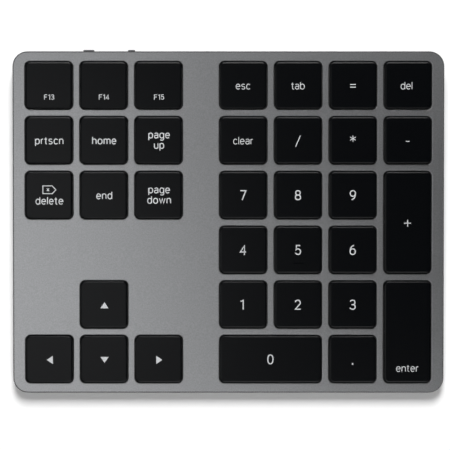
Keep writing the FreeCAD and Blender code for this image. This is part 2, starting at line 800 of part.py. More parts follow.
# ---------------------------------------------------------------- electronics

BOARD_TOP = "(sizes.board_bottom + sizes.board_thickness)"
TAIL_THICKNESS = 0.2
TAIL_WIDTH = 12.0


def make_main_board():
    body = new_body("main_board")
    place = at("sizes.board_left", "sizes.board_front", "sizes.board_bottom")
    block(body, "Additive", "sizes.board_right - sizes.board_left",
          "sizes.board_rear - sizes.board_front", "sizes.board_thickness", place)
    dress(body, "Fillet", upright, "1")
    for x, y in BOARD_SCREWS:
        round_bar(body, "Subtractive", "0.85", "sizes.board_thickness + 1",
                  at(x, y, "sizes.board_bottom - 0.5"))
    return body


BOARD_HEAD_RADIUS = 1.4
BOARD_HEAD = 0.7


def make_board_screws():
    top = value(BOARD_TOP)
    reach = sizes.board_thickness + 0.9
    shank = Part.makeCylinder(BOARD_SCREW_RADIUS, reach + 0.1, Vector(0, 0, top - reach))
    head = Part.makeCylinder(BOARD_HEAD_RADIUS, BOARD_HEAD, Vector(0, 0, top))
    recess_depth = 0.4
    recess = cross_recess(BOARD_HEAD_RADIUS, recess_depth)
    recess = recess.translated(Vector(0, 0, top + BOARD_HEAD - recess_depth))
    screw = shank.fuse(head).removeSplitter().cut(recess)
    frames = [Placement(Vector(value(x), value(y), 0), Rotation()) for x, y in BOARD_SCREWS]
    one_solid("board_screws", copies(screw, frames), WORLD)


MODULE_LENGTH = 11.0
MODULE_WIDTH = 12.0
MODULE_BOARD = 0.5
CAN_LENGTH = 9.6
CAN_WIDTH = 8.6
CAN_HEIGHT = 1.3
ANTENNA_SHIFT = 1.2


def make_radio_controller():
    """The radio and controller module: a small board with a shield can and a bare antenna end."""
    body = new_body("radio_controller")
    x = "sizes.board_left + 10.5"
    y = "sizes.board_rear - 10"
    centred_block(body, "Additive", MODULE_LENGTH, MODULE_WIDTH, MODULE_BOARD, x, y, BOARD_TOP)
    centred_block(body, "Additive", CAN_LENGTH, CAN_WIDTH, CAN_HEIGHT, x, f"{y} - {ANTENNA_SHIFT}",
                  f"{BOARD_TOP} + {MODULE_BOARD}")
    dress(body, "Fillet", lambda edge: upright(edge) and edge.Length > 1, "0.5")
    return body


def make_battery():
    body = new_body("battery")
    place = at("sizes.battery_left", "sizes.battery_front", f"{COVER_TOP} + sizes.tape_thickness")
    block(body, "Additive", "sizes.battery_length", "sizes.battery_width",
          "sizes.battery_thickness", place)
    dress(body, "Fillet", lambda edge: runs_along(edge, Vector(0, 1, 0)), "sizes.battery_thickness / 3")
    return body


TAPE_INSET = 4


def make_battery_tape():
    body = new_body("battery_tape")
    place = at(f"sizes.battery_left + {TAPE_INSET}", f"sizes.battery_front + {TAPE_INSET}", COVER_TOP)
    block(body, "Additive", f"sizes.battery_length - {2 * TAPE_INSET}",
          f"sizes.battery_width - {2 * TAPE_INSET}",
          "sizes.tape_thickness", place)
    return body


LEAD_EXIT = 27.0
PLUG_X = -36.5
PLUG_FRONT = 40.6
PLUG_LENGTH = 4.4
PLUG_WIDTH = 3.4
PLUG_HEIGHT = 1.9
LEAD_SPACING = 1.1
LEAD_HEIGHT = 3.7
LEAD_BEND = 5.5


def make_battery_leads():
    """Two insulated wires from the cell's left end to the plug on the board."""
    leads = []
    for step in (-0.5, 0.5):
        offset = step * LEAD_SPACING
        corner = Vector(PLUG_X + offset, LEAD_EXIT + offset, LEAD_HEIGHT)
        points = [
            Vector(sizes.battery_left, corner.y, LEAD_HEIGHT),
            corner,
            Vector(corner.x, PLUG_FRONT, LEAD_HEIGHT),
        ]
        leads.append(round_sweep(wire_route(LEAD_BEND - offset, points), sizes.lead_radius))
    one_solid("battery_leads", Part.makeCompound(leads), WORLD)


def make_battery_connector():
    body = new_body("battery_connector")
    place = at(PLUG_X - PLUG_LENGTH / 2, PLUG_FRONT, BOARD_TOP)
    block(body, "Additive", PLUG_LENGTH, PLUG_WIDTH, PLUG_HEIGHT, place)
    dress(body, "Fillet", upright, "0.3")
    return body


def make_membrane_tail():
    """The flat tail that leads from the membrane, through the plate, down to its connector."""
    body = new_body("membrane_tail")
    slot_y = sizes.key_pitch * 2
    top = deck_point(0, slot_y, -sizes.plate_top).z - 0.03
    low = value(BOARD_TOP) + 0.55
    thick = TAIL_THICKNESS
    corners = [
        (slot_y - 0.4, top), (slot_y - 0.4, top - 1.2), (slot_y + 2.2, low), (slot_y + 4.4, low),
        (slot_y + 4.4, low + thick), (slot_y + 2.4, low + thick),
        (slot_y - 0.4 + thick, top - 1.1), (slot_y - 0.4 + thick, top),
    ]
    sketch = polygon(body, "YZ_Plane", [(f"{y:.4f}", f"{z:.4f}") for y, z in corners])
    across_both_sides(body, "Pad", sketch, TAIL_WIDTH)
    return bind(body, Placement=at(column_x("left", 2), 0, 0))


TAIL_CONNECTOR_LENGTH = 14.0
TAIL_CONNECTOR_WIDTH = 3.4
TAIL_CONNECTOR_HEIGHT = 1.3


def make_tail_connector():
    body = new_body("tail_connector")
    x = column_x("left", 2)
    y = "2 * sizes.key_pitch + 5.4"
    centred_block(body, "Additive", TAIL_CONNECTOR_LENGTH, TAIL_CONNECTOR_WIDTH,
                  TAIL_CONNECTOR_HEIGHT, x, y, BOARD_TOP)
    centred_block(body, "Subtractive", f"{TAIL_WIDTH + 0.3}", "1.6", f"{TAIL_THICKNESS + 0.2}", x,
                  f"{y} - 1.2", f"{BOARD_TOP} + 0.45")
    return body


def make_usb_c_shell():
    """The receptacle's drawn steel shell, open at its mouth and closed at its back."""
    wall = PORT_WALL
    corner = PORT_DEPTH / 2 - 0.02
    outside = rounded_slab(PORT_WIDTH, PORT_DEPTH, PORT_LENGTH, corner, 0, 0, 0)
    inside = rounded_slab(PORT_WIDTH - 2 * wall, PORT_DEPTH - 2 * wall, PORT_LENGTH,
                          corner - wall, 0, 0, -wall)
    mouth = at("sizes.port_middle", f"sizes.case_depth / 2 - {PORT_RECESS}", "sizes.port_height",
               axis="1; 0; 0", angle=90)
    one_solid("usb_c_shell", outside.cut(inside), mouth)


PORT_BLOCK_WIDTH = 5.7
PORT_BLOCK_LENGTH = 1.6
TONGUE_WIDTH = 6.69
TONGUE_LENGTH = 4.7
TONGUE_THICKNESS = 0.7
TONGUE_CHAMFER = 0.15


def make_usb_c_tongue():
    """The insulating block at the back of the shell, with the contact tongue on it."""
    body = new_body("usb_c_tongue")
    front = f"sizes.case_depth / 2 - {PORT_RECESS + PORT_LENGTH - PORT_WALL}"
    inner_depth = PORT_DEPTH - 2 * PORT_WALL
    centred_block(body, "Additive", PORT_BLOCK_WIDTH, PORT_BLOCK_LENGTH, inner_depth,
                  "sizes.port_middle", f"{front} + {PORT_BLOCK_LENGTH / 2}",
                  f"sizes.port_height - {inner_depth / 2}")
    tongue_middle = PORT_BLOCK_LENGTH + TONGUE_LENGTH / 2 - 0.1
    centred_block(body, "Additive", TONGUE_WIDTH, TONGUE_LENGTH, TONGUE_THICKNESS,
                  "sizes.port_middle", f"{front} + {tongue_middle}",
                  f"sizes.port_height - {TONGUE_THICKNESS / 2}")

    def tip_edge(edge):
        near_mouth = edge.CenterOfMass.y > sizes.case_depth / 2 - PORT_RECESS - TONGUE_LENGTH / 2
        return runs_along(edge, Vector(1, 0, 0)) and edge.Length > PORT_BLOCK_WIDTH and near_mouth

    dress(body, "Chamfer", tip_edge, TONGUE_CHAMFER)
    return body


SWITCH_LENGTH = 7.2
SWITCH_DEPTH = 2.7
SWITCH_HEIGHT = 2.9
SWITCH_TO_WALL = 1.3
SLIDER_WIDTH = 1.4
SLIDER_LENGTH = 2.4
SLIDER_HEIGHT = 1.0
TRACK_HEIGHT = 1.3
TRACK_DEPTH = 1.8
KNOB_EDGE = 0.2
PAIRING_SWITCH_LENGTH = 4.6
PAIRING_SWITCH_HEIGHT = 2.6
PLUNGER_WIDTH = 1.3
PLUNGER_HEIGHT = 0.8
PLUNGER_GAP = 0.2
FLANGE_REACH = 0.5
FLANGE_THICKNESS = 0.5

WALL_INSIDE = "(sizes.case_depth / 2 - sizes.case_wall)"
SWITCH_REAR = f"({WALL_INSIDE} - {SWITCH_TO_WALL})"
CONTROL_END = "(sizes.case_depth / 2 + sizes.control_reach)"
CONTROL_START = f"({WALL_INSIDE} - 0.2)"
CONTROL_FOOT = "sizes.port_height - sizes.control_height / 2"


def on_control_end(edge):
    """Whether an edge lies in the face that stands out of the rear wall."""
    return abs(edge.BoundBox.YMin - value(CONTROL_END)) < 0.001


def control_in_wall(body, width, middle):
    """What stands out of the rear wall, from just inside it."""
    centred_block(body, "Additive", width, f"{CONTROL_END} - {CONTROL_START}", "sizes.control_height",
                  middle, f"({CONTROL_END} + {CONTROL_START}) / 2", CONTROL_FOOT)


def make_power_switch():
    """A slide switch on the board, and the knob that slides in the rear wall's slot."""
    housing = new_body("power_switch_body")
    centred_block(housing, "Additive", SWITCH_LENGTH, SWITCH_DEPTH, SWITCH_HEIGHT,
                  SWITCH_SLOT_MIDDLE, f"{SWITCH_REAR} - {SWITCH_DEPTH / 2}", BOARD_TOP)
    centred_block(housing, "Subtractive", f"sizes.switch_travel + {SLIDER_WIDTH + 0.3}", TRACK_DEPTH,
                  TRACK_HEIGHT, SWITCH_SLOT_MIDDLE, f"{SWITCH_REAR} - 0.8",
                  f"sizes.port_height - {TRACK_HEIGHT / 2}")
    knob = new_body("power_switch_knob")
    control_in_wall(knob, "sizes.switch_knob_width", "sizes.switch_middle")
    centred_block(knob, "Additive", SLIDER_WIDTH, SLIDER_LENGTH, SLIDER_HEIGHT, "sizes.switch_middle",
                  f"{WALL_INSIDE} - {SLIDER_LENGTH / 2 + 0.1}",
                  f"sizes.port_height - {SLIDER_HEIGHT / 2}")
    dress(knob, "Fillet", on_control_end, KNOB_EDGE)


def make_pairing_switch():
    """A side-pressed switch on the board, and the button that presses it."""
    housing = new_body("pairing_switch_body")
    centred_block(housing, "Additive", PAIRING_SWITCH_LENGTH, SWITCH_DEPTH, PAIRING_SWITCH_HEIGHT,
                  "sizes.pairing_middle", f"{SWITCH_REAR} - {SWITCH_DEPTH / 2}", BOARD_TOP)
    opening = PLUNGER_HEIGHT + 2 * PLUNGER_GAP
    centred_block(housing, "Subtractive", PLUNGER_WIDTH + 2 * PLUNGER_GAP, PLUNGER_WIDTH, opening,
                  "sizes.pairing_middle", f"{SWITCH_REAR} - 0.5", f"sizes.port_height - {opening / 2}")
    button = new_body("pairing_button")
    control_in_wall(button, "sizes.pairing_width", "sizes.pairing_middle")
    centred_block(button, "Additive", f"sizes.pairing_width + {2 * FLANGE_REACH}", FLANGE_THICKNESS,
                  "sizes.control_height", "sizes.pairing_middle", f"{WALL_INSIDE} - 0.3", CONTROL_FOOT)
    centred_block(button, "Additive", PLUNGER_WIDTH, PLUNGER_WIDTH, PLUNGER_HEIGHT,
                  "sizes.pairing_middle", f"{WALL_INSIDE} - 1.05",
                  f"sizes.port_height - {PLUNGER_HEIGHT / 2}")
    dress(button, "Fillet", on_control_end, KNOB_EDGE)


# ---------------------------------------------------------------- build and write

make_top_case()
make_bottom_cover()
make_rubber_feet()
make_cover_screws()
for name in KEYS:
    make_keycap(name)
make_support_plate()
make_plate_screws()
make_switch_membrane()
make_rubber_domes()
make_scissor_levers()
make_stabiliser_wires()
make_main_board()
make_board_screws()
make_radio_controller()
make_battery()
make_battery_tape()
make_battery_leads()
make_battery_connector()
make_membrane_tail()
make_tail_connector()
make_usb_c_shell()
make_usb_c_tongue()
make_power_switch()
make_pairing_switch()
doc.recompute()

for item in doc.Objects:
    if "Invalid" in item.State or "Error" in item.State:
        raise RuntimeError(f"{item.Label} failed: {item.State}")
for part in parts:
    if part.Shape.isNull() or not part.Shape.isValid():
        raise RuntimeError(f"{part.Label} has no valid shape")

os.makedirs("parts", exist_ok=True)
for part in parts:
    part.Shape.exportStep(f"parts/{part.Label}.step")
    print(f"{part.Label}: {len(part.Shape.Solids)} solids, {part.Shape.Volume:.1f} mm3")
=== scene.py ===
"""Looks of the numeric keypad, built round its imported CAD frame. Metres, +Z up, +Y to the rear.

The deck slopes up to the rear, so what lies on it is built level, in a deck frame whose z is 0
on the deck's surface, and DECK then puts it in place.
"""
import json
import math

import bmesh
import bpy
from mathutils import Matrix, Vector, geometry


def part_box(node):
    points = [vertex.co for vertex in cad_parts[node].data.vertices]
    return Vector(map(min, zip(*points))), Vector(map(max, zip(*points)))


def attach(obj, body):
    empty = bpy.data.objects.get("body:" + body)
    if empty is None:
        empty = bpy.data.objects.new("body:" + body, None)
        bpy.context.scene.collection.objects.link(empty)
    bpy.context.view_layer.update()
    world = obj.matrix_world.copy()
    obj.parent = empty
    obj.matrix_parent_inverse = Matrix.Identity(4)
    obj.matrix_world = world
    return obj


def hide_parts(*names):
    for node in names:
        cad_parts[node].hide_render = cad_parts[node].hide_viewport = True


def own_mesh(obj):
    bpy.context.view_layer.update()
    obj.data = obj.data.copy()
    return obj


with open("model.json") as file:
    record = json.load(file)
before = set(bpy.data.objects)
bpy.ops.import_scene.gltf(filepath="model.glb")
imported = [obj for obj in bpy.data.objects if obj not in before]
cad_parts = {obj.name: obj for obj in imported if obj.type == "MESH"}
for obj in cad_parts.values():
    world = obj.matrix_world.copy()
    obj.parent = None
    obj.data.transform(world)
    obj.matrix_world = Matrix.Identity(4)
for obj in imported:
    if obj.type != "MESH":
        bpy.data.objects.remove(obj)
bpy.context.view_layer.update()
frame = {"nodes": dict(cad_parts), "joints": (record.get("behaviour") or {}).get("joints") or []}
nodes = frame["nodes"]

MM = 0.001
CASE = "housing"

# ---------------------------------------------------------------- places, from the frame

KEY_JOINTS = {joint["child"]: joint for joint in frame["joints"] if joint["child"].startswith("key_")}
DECK_NORMAL = -Vector(KEY_JOINTS["key_seven"]["axis"])
DECK_TILT = math.atan2(-DECK_NORMAL.y, DECK_NORMAL.z)
DECK_RISE = max(vertex.co.dot(DECK_NORMAL) for vertex in nodes["top_case"].data.vertices)
DECK = Matrix.Translation((0, 0, DECK_RISE / DECK_NORMAL.z)) @ Matrix.Rotation(DECK_TILT, 4, "X")


def box_on_deck(node):
    """The lowest and highest corner of a CAD node in the deck frame."""
    into_deck = DECK.inverted()
    points = [into_deck @ vertex.co for vertex in nodes[node].data.vertices]
    low = Vector(min(point[i] for point in points) for i in range(3))
    high = Vector(max(point[i] for point in points) for i in range(3))
    return low, high


KEY_BOXES = {node: box_on_deck(node) for node in KEY_JOINTS}
KEY_MIDDLES = {node: (low + high) / 2 for node, (low, high) in KEY_BOXES.items()}
CAP_RISE = KEY_BOXES["key_seven"][1].z
CAP_SKIRT = 0.4 * MM
CAP_WALL = 0.9 * MM
CAP_TOP = 1.0 * MM
CAP_CORNER = 1.5 * MM
CAP_FOOT_EDGE = 0.12 * MM
CAP_EDGE = 0.16 * MM
CAP_SLOPE = 0.24 * MM
CAP_SLOPE_DROP = 0.038 * MM
CAP_DRAFT = 0.04 * MM
LONG_KEY = 1.5
GAP_ROUND_CAP = 0.375 * MM
DECK_THICKNESS = 1.2 * MM
CASE_WALL = 2.0 * MM
CASE_CORNER = 5.2 * MM
CASE_FOOT_EDGE = 0.2 * MM
CASE_CHAMFER_WIDTH = 0.38 * MM
CASE_CHAMFER_DROP = 0.3 * MM
# How far out and how deep each step of an opening's edge is, from the deck inwards.
OPENING_STEPS = ((0.24 * MM, 0), (0.07 * MM, 0.035 * MM), (0, 0.10 * MM))
ARC_STEPS = 10
EDGE_STEPS = 4
SMALLEST_CORNER = 0.01 * MM
SAME_PLACE = 0.001 * MM

# ---------------------------------------------------------------- node materials


def new_material(name, color, roughness, metallic=0.0, **inputs):
    """A Principled material, its links still to be made. Returns it with its tree and shader."""
    material = bpy.data.materials.new(name)
    material.use_nodes = True
    tree = material.node_tree
    shader = tree.nodes["Principled BSDF"]
    shader.inputs["Base Color"].default_value = (*color, 1)
    shader.inputs["Roughness"].default_value = roughness
    shader.inputs["Metallic"].default_value = metallic
    for socket, value in inputs.items():
        shader.inputs[socket.replace("_", " ")].default_value = value
    return material, tree, shader


def object_noise(tree, grain, detail):
    """Noise over the object's own coordinates, whose grains are about this many metres wide."""
    place = tree.nodes.new("ShaderNodeTexCoord")
    scale = tree.nodes.new("ShaderNodeMapping")
    scale.inputs["Scale"].default_value = [1 / grain] * 3
    noise = tree.nodes.new("ShaderNodeTexNoise")
    noise.inputs["Scale"].default_value = 1
    noise.inputs["Detail"].default_value = detail
    tree.links.new(place.outputs["Object"], scale.inputs["Vector"])
    tree.links.new(scale.outputs["Vector"], noise.inputs["Vector"])
    return noise


NOISE_SPAN = (0.3, 0.7)
FINE_DETAIL = 2
BROAD_DETAIL = 3
BROAD_GRAIN = 40
GLOSS_SPREAD = 0.01


def vary(tree, noise, low, high, socket):
    """Drives a shader socket with noise, spread between two colours or two numbers."""
    ramp = tree.nodes.new("ShaderNodeValToRGB")
    for element, position, value in zip(ramp.color_ramp.elements, NOISE_SPAN, (low, high)):
        element.position = position
        element.color = (*value, 1) if isinstance(value, tuple) else (value, value, value, 1)
    tree.links.new(noise.outputs["Fac"], ramp.inputs["Fac"])
    tree.links.new(ramp.outputs["Color"], socket)


def roughen(tree, shader, noise, strength, distance):
    """Turns noise into small bumps this many metres deep."""
    bump = tree.nodes.new("ShaderNodeBump")
    bump.inputs["Strength"].default_value = strength
    bump.inputs["Distance"].default_value = distance
    tree.links.new(noise.outputs["Fac"], bump.inputs["Height"])
    tree.links.new(bump.outputs["Normal"], shader.inputs["Normal"])


def grained(name, color, roughness, grain, depth, metallic=0.0, spread=0.12, strength=0.5, **inputs):
    """A material with a fine grain in its colour, roughness and surface."""
    material, tree, shader = new_material(name, color, roughness, metallic, **inputs)
    noise = object_noise(tree, grain, FINE_DETAIL)
    low = tuple(channel * (1 - spread) for channel in color)
    high = tuple(min(1, channel * (1 + spread)) for channel in color)
    vary(tree, noise, low, high, shader.inputs["Base Color"])
    broad = object_noise(tree, grain * BROAD_GRAIN, BROAD_DETAIL)
    vary(tree, broad, roughness * (1 - GLOSS_SPREAD), min(1, roughness * (1 + GLOSS_SPREAD)),
         shader.inputs["Roughness"])
    roughen(tree, shader, noise, strength, depth)
    return material


ANODISED = grained("anodised_aluminium", (0.2522, 0.2562, 0.2632), 0.286, 0.45 * MM, 0.006 * MM,
                   metallic=1.0, spread=0.1, strength=0.6)
POLISHED = grained("polished_chamfer", (0.36, 0.365, 0.375), 0.22, 0.3 * MM, 0.001 * MM,
                   metallic=1.0, spread=0.03, strength=0.1)
# Painted shade: the key openings' walls are the case's own aluminium. This near-black stands in for the
# shade in the gaps round the caps.
PAINTED_SHADE_WALL = grained("opening_wall_painted_shade", (0.012, 0.012, 0.013), 0.6, 0.3 * MM, 0.002 * MM)
KEYCAP = grained("keycap_plastic", (0.0003, 0.0006, 0.0011), 0.23, 0.12 * MM, 0.002 * MM,
                 strength=0.15, Specular_IOR_Level=0.125)
LEGEND = grained("legend_ink", (0.48, 0.49, 0.50), 0.6, 0.2 * MM, 0.001 * MM, spread=0.04)
COVER = grained("cover_plastic", (0.030, 0.030, 0.033), 0.58, 0.35 * MM, 0.02 * MM)
RUBBER = grained("foot_rubber", (0.012, 0.012, 0.012), 0.82, 0.25 * MM, 0.015 * MM)
CONTROL = grained("control_plastic", (0.010, 0.010, 0.011), 0.42, 0.15 * MM, 0.004 * MM)
DARK_STEEL = grained("screw_steel", (0.10, 0.10, 0.105), 0.36, 0.2 * MM, 0.003 * MM, metallic=1.0)
PLATE_STEEL = grained("plate_steel", (0.40, 0.41, 0.42), 0.34, 0.5 * MM, 0.004 * MM, metallic=1.0)
TINNED = grained("tinned_steel", (0.62, 0.62, 0.63), 0.28, 0.3 * MM, 0.003 * MM, metallic=1.0)
GOLD = grained("gold_contact", (0.83, 0.62, 0.28), 0.25, 0.1 * MM, 0.001 * MM, metallic=1.0)
FILM = grained("film_plastic", (0.002, 0.002, 0.0022), 0.5, 0.8 * MM, 0.002 * MM)
LEVER = grained("lever_plastic", (0.006, 0.006, 0.0065), 0.5, 0.3 * MM, 0.004 * MM)
SILICONE = grained("dome_rubber", (0.03, 0.03, 0.031), 0.6, 0.4 * MM, 0.004 * MM)
CONNECTOR = grained("connector_plastic", (0.70, 0.68, 0.61), 0.5, 0.25 * MM, 0.004 * MM)
BLACK_PLASTIC = grained("switch_plastic", (0.018, 0.018, 0.019), 0.45, 0.2 * MM, 0.004 * MM)
BOARD = grained("board_laminate", (0.010, 0.075, 0.035), 0.3, 0.6 * MM, 0.004 * MM)
FOIL = grained("cell_foil", (0.60, 0.61, 0.63), 0.32, 2.5 * MM, 0.05 * MM, metallic=1.0)
FOAM = grained("tape_foam", (0.02, 0.02, 0.02), 0.95, 0.3 * MM, 0.03 * MM)
LEAD = grained("lead_insulation", (0.30, 0.015, 0.012), 0.4, 0.3 * MM, 0.003 * MM)

# ---------------------------------------------------------------- mesh helpers


def rounded_ring(length, width, corner, steps=ARC_STEPS, middle=(0, 0)):
    """The points of a rounded rectangle in plan, anticlockwise."""
    corner = max(corner, SMALLEST_CORNER)
    points = []
    for index, (x_sign, y_sign) in enumerate(((1, 1), (-1, 1), (-1, -1), (1, -1))):
        centre_x = middle[0] + x_sign * (length / 2 - corner)
        centre_y = middle[1] + y_sign * (width / 2 - corner)
        for step in range(steps + 1):
            angle = (index + step / steps) * math.pi / 2
            points.append((centre_x + corner * math.cos(angle), centre_y + corner * math.sin(angle)))
    return points


def round_ring(radius, steps, middle):
    """The points of a circle in plan, anticlockwise."""
    angles = [2 * math.pi * step / steps for step in range(steps)]
    return [(middle[0] + radius * math.cos(a), middle[1] + radius * math.sin(a)) for a in angles]


def quarter():
    """The sines and cosines of a rounded edge's steps, from its wall to its top."""
    angles = [math.pi / 2 * step / EDGE_STEPS for step in range(EDGE_STEPS + 1)]
    return [(math.sin(angle), math.cos(angle)) for angle in angles]


def add_ring(mesh, points, heights):
    """New vertices round a ring, at one height or a height for each."""
    if not isinstance(heights, (list, tuple)):
        heights = [heights] * len(points)
    return [mesh.verts.new((x, y, z)) for (x, y), z in zip(points, heights)]


def bridge(mesh, lower, upper):
    """Faces between two rings of as many vertices, facing outwards if they run anticlockwise."""
    count = len(lower)
    for index in range(count):
        after = (index + 1) % count
        mesh.faces.new((lower[index], lower[after], upper[after], upper[index]))


def loft(mesh, rings):
    """A closed skin over rings given as (points, height), from the first up to the last."""
    made = [add_ring(mesh, points, height) for points, height in rings]
    for lower, upper in zip(made, made[1:]):
        bridge(mesh, lower, upper)
    mesh.faces.new(list(reversed(made[0])))
    mesh.faces.new(made[-1])


def mesh_data(name, mesh, place):
    """A bmesh written out as a mesh, put in place."""
    bmesh.ops.recalc_face_normals(mesh, faces=mesh.faces)
    data = bpy.data.meshes.new(name)
    mesh.to_mesh(data)
    mesh.free()
    data.transform(place)
    return data


SOFT_ANGLE = math.radians(40)
CRISP_ANGLE = math.radians(30)
FLAT_TILT = math.radians(1)
LARGE_FACE_WEIGHT = 80


def finish_mesh(name, mesh, place, material, body, soft_angle=SOFT_ANGLE):
    """The piece made of a bmesh: put in place, shaded, given its material and its body."""
    return piece_from(name, mesh_data(name, mesh, place), material, body, soft_angle)


def keep_flats(data):
    """Shades faces in the deck's plane as flat, though only a shallow slope goes round them."""
    mesh = bmesh.new()
    mesh.from_mesh(data)
    for edge in mesh.edges:
        tilts = sorted(face.normal.angle(DECK_NORMAL, math.pi) for face in edge.link_faces)
        if len(tilts) == 2 and tilts[0] < FLAT_TILT < tilts[1]:
            edge.smooth = False
    mesh.to_mesh(data)
    mesh.free()


def piece_from(name, data, material, body, soft_angle):
    """The piece made of a mesh, with edges sharp where they turn by more than soft_angle."""
    data.name = name
    data.polygons.foreach_set("use_smooth", [True] * len(data.polygons))
    data.set_sharp_from_angle(angle=soft_angle)
    keep_flats(data)
    data.materials.clear()
    data.materials.append(material)
    piece = bpy.data.objects.new(name, data)
    bpy.context.scene.collection.objects.link(piece)
    weighted = piece.modifiers.new("even_shading", "WEIGHTED_NORMAL")
    weighted.keep_sharp = True
    weighted.weight = LARGE_FACE_WEIGHT
    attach(piece, body)
    return piece


def fill_with_holes(mesh, outline, holes):
    """Flat faces between an outline and the holes in it, all rings of vertices."""
    rings = [outline] + holes
    flat = [[vertex.co.copy() for vertex in ring] for ring in rings]
    vertices = [vertex for ring in rings for vertex in ring]
    for corners in geometry.tessellate_polygon(flat):
        mesh.faces.new([vertices[index] for index in corners])


def soft_box(mesh, low, high, edge, steps):
    """A box with rounded edges between two corners."""
    size = [b - a for a, b in zip(low, high)]
    middle = [(a + b) / 2 for a, b in zip(low, high)]
    place = Matrix.Translation(middle) @ Matrix.Diagonal((*size, 1))
    made = bmesh.ops.create_cube(mesh, size=1, matrix=place)
    edges = list(dict.fromkeys(item for vertex in made["verts"] for item in vertex.link_edges))
    bmesh.ops.bevel(mesh, geom=edges, offset=edge, segments=steps, profile=0.5, affect="EDGES")


def cut_from(piece, cutters):
    """The mesh of a piece less each cutter. Removes the piece and the cutters."""
    for cutter in cutters:
        cut = piece.modifiers.new("cut", "BOOLEAN")
        cut.operation = "DIFFERENCE"
        cut.solver = "EXACT"
        cut.object = cutter
    bpy.context.view_layer.update()
    graph = bpy.context.evaluated_depsgraph_get()
    data = bpy.data.meshes.new_from_object(piece.evaluated_get(graph))
    for cutter in cutters:
        bpy.data.objects.remove(cutter)
    bpy.data.objects.remove(piece)
    return data


def loose_object(name, mesh, place=Matrix()):
    """A plain object made of a bmesh, for use as a cutter or a blank."""
    data = mesh_data(name, mesh, place)
    item = bpy.data.objects.new(name, data)
    bpy.context.scene.collection.objects.link(item)
    return item


# ---------------------------------------------------------------- top case


def under_deck(points, depth):
    """Each point's height on the plane that lies this depth under the deck."""
    sine, cosine = math.sin(DECK_TILT), math.cos(DECK_TILT)
    return [(DECK_RISE - depth + y * sine) / cosine for _, y in points]


def opening_size(node):
    """The size in plan of the deck's opening round a keycap."""
    low, high = KEY_BOXES[node]
    return high.x - low.x + 2 * GAP_ROUND_CAP, high.y - low.y + 2 * GAP_ROUND_CAP


def opening_ring(node, grow, depth):
    """A ring round a key opening, grown outwards, as points in plan with their heights."""
    length, width = opening_size(node)
    corner = CAP_CORNER + GAP_ROUND_CAP + grow
    middle = KEY_MIDDLES[node]
    ring = rounded_ring(length + 2 * grow, width + 2 * grow, corner, middle=(middle.x, middle.y))
    placed = [DECK @ Vector((x, y, -depth)) for x, y in ring]
    return [(point.x, point.y) for point in placed], [point.z for point in placed]


def case_blank():
    """The case without its rear openings."""
    mesh = bmesh.new()
    low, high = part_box("top_case")
    length, width = high.x - low.x, high.y - low.y
    rings = []
    for sine, cosine in reversed(quarter()):
        inset = CASE_FOOT_EDGE * (1 - cosine)
        height = low.z + CASE_FOOT_EDGE * (1 - sine)
        rings.append((rounded_ring(length - 2 * inset, width - 2 * inset, CASE_CORNER - inset), height))
    points = rounded_ring(length, width, CASE_CORNER)
    rings.append((points, under_deck(points, CASE_CHAMFER_DROP)))
    inset = CASE_CHAMFER_WIDTH
    points = rounded_ring(length - 2 * inset, width - 2 * inset, CASE_CORNER - inset)
    rings.append((points, under_deck(points, 0)))
    outside = [add_ring(mesh, points, heights) for points, heights in rings]
    for lower, upper in zip(outside, outside[1:]):
        bridge(mesh, lower, upper)
    deck_holes = []
    ceiling_holes = []
    for node in KEY_BOXES:
        steps = [opening_ring(node, grow, depth) for grow, depth in OPENING_STEPS]
        steps.append(opening_ring(node, 0, DECK_THICKNESS))
        made = [add_ring(mesh, points, heights) for points, heights in steps]
        for upper, lower in zip(made, made[1:]):
            bridge(mesh, upper, lower)
        deck_holes.append(made[0])
        ceiling_holes.append(made[-1])
    inside = rounded_ring(length - 2 * CASE_WALL, width - 2 * CASE_WALL, CASE_CORNER - CASE_WALL)
    ceiling = add_ring(mesh, inside, under_deck(inside, DECK_THICKNESS))
    rim = add_ring(mesh, inside, low.z)
    bridge(mesh, ceiling, rim)
    bridge(mesh, rim, outside[0])
    fill_with_holes(mesh, outside[-1], deck_holes)
    fill_with_holes(mesh, ceiling, ceiling_holes)
    return loose_object("case_blank", mesh)


CONTROL_GAP = 0.2 * MM
CONTROL_CORNER = 0.45 * MM
PORT_CORNER_TRIM = 0.02 * MM
BUTTON_FLANGE = 0.5 * MM
CUTTER_REACH = 3 * MM


def rear_cutter(node, corner, left=0, right=0):
    """A cutter through the rear wall round a node, whose ends are moved left and right along x."""
    low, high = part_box(node)
    low_x, high_x = low.x + left - CONTROL_GAP, high.x + right + CONTROL_GAP
    points = rounded_ring(high_x - low_x, high.z - low.z + 2 * CONTROL_GAP, corner)
    mesh = bmesh.new()
    loft(mesh, [(points, -CUTTER_REACH), (points, CUTTER_REACH)])
    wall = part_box("top_case")[1].y - CASE_WALL / 2
    middle = ((low_x + high_x) / 2, wall, (low.z + high.z) / 2)
    turn = Matrix.Rotation(math.pi / 2, 4, "X")
    return loose_object("cutter", mesh, Matrix.Translation(middle) @ turn)


def rear_cutters():
    """The port's opening, the slider's slot, and the button's hole, which its flange can't pass."""
    port_low, port_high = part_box("usb_c_shell")
    port_corner = (port_high.z - port_low.z) / 2 + CONTROL_GAP - PORT_CORNER_TRIM
    slider = next(item for item in frame["joints"] if item["child"] == "power_switch_knob")
    return [
        rear_cutter("usb_c_shell", port_corner),
        rear_cutter("power_switch_knob", CONTROL_CORNER, *slider["range_m"]),
        rear_cutter("pairing_button", CONTROL_CORNER, BUTTON_FLANGE, -BUTTON_FLANGE),
    ]


CHAMFER_TILTS = (math.radians(20), math.radians(70))
CHAMFER_MARGIN = 1 * MM
WALL_TILTS = (math.radians(70), math.radians(110))


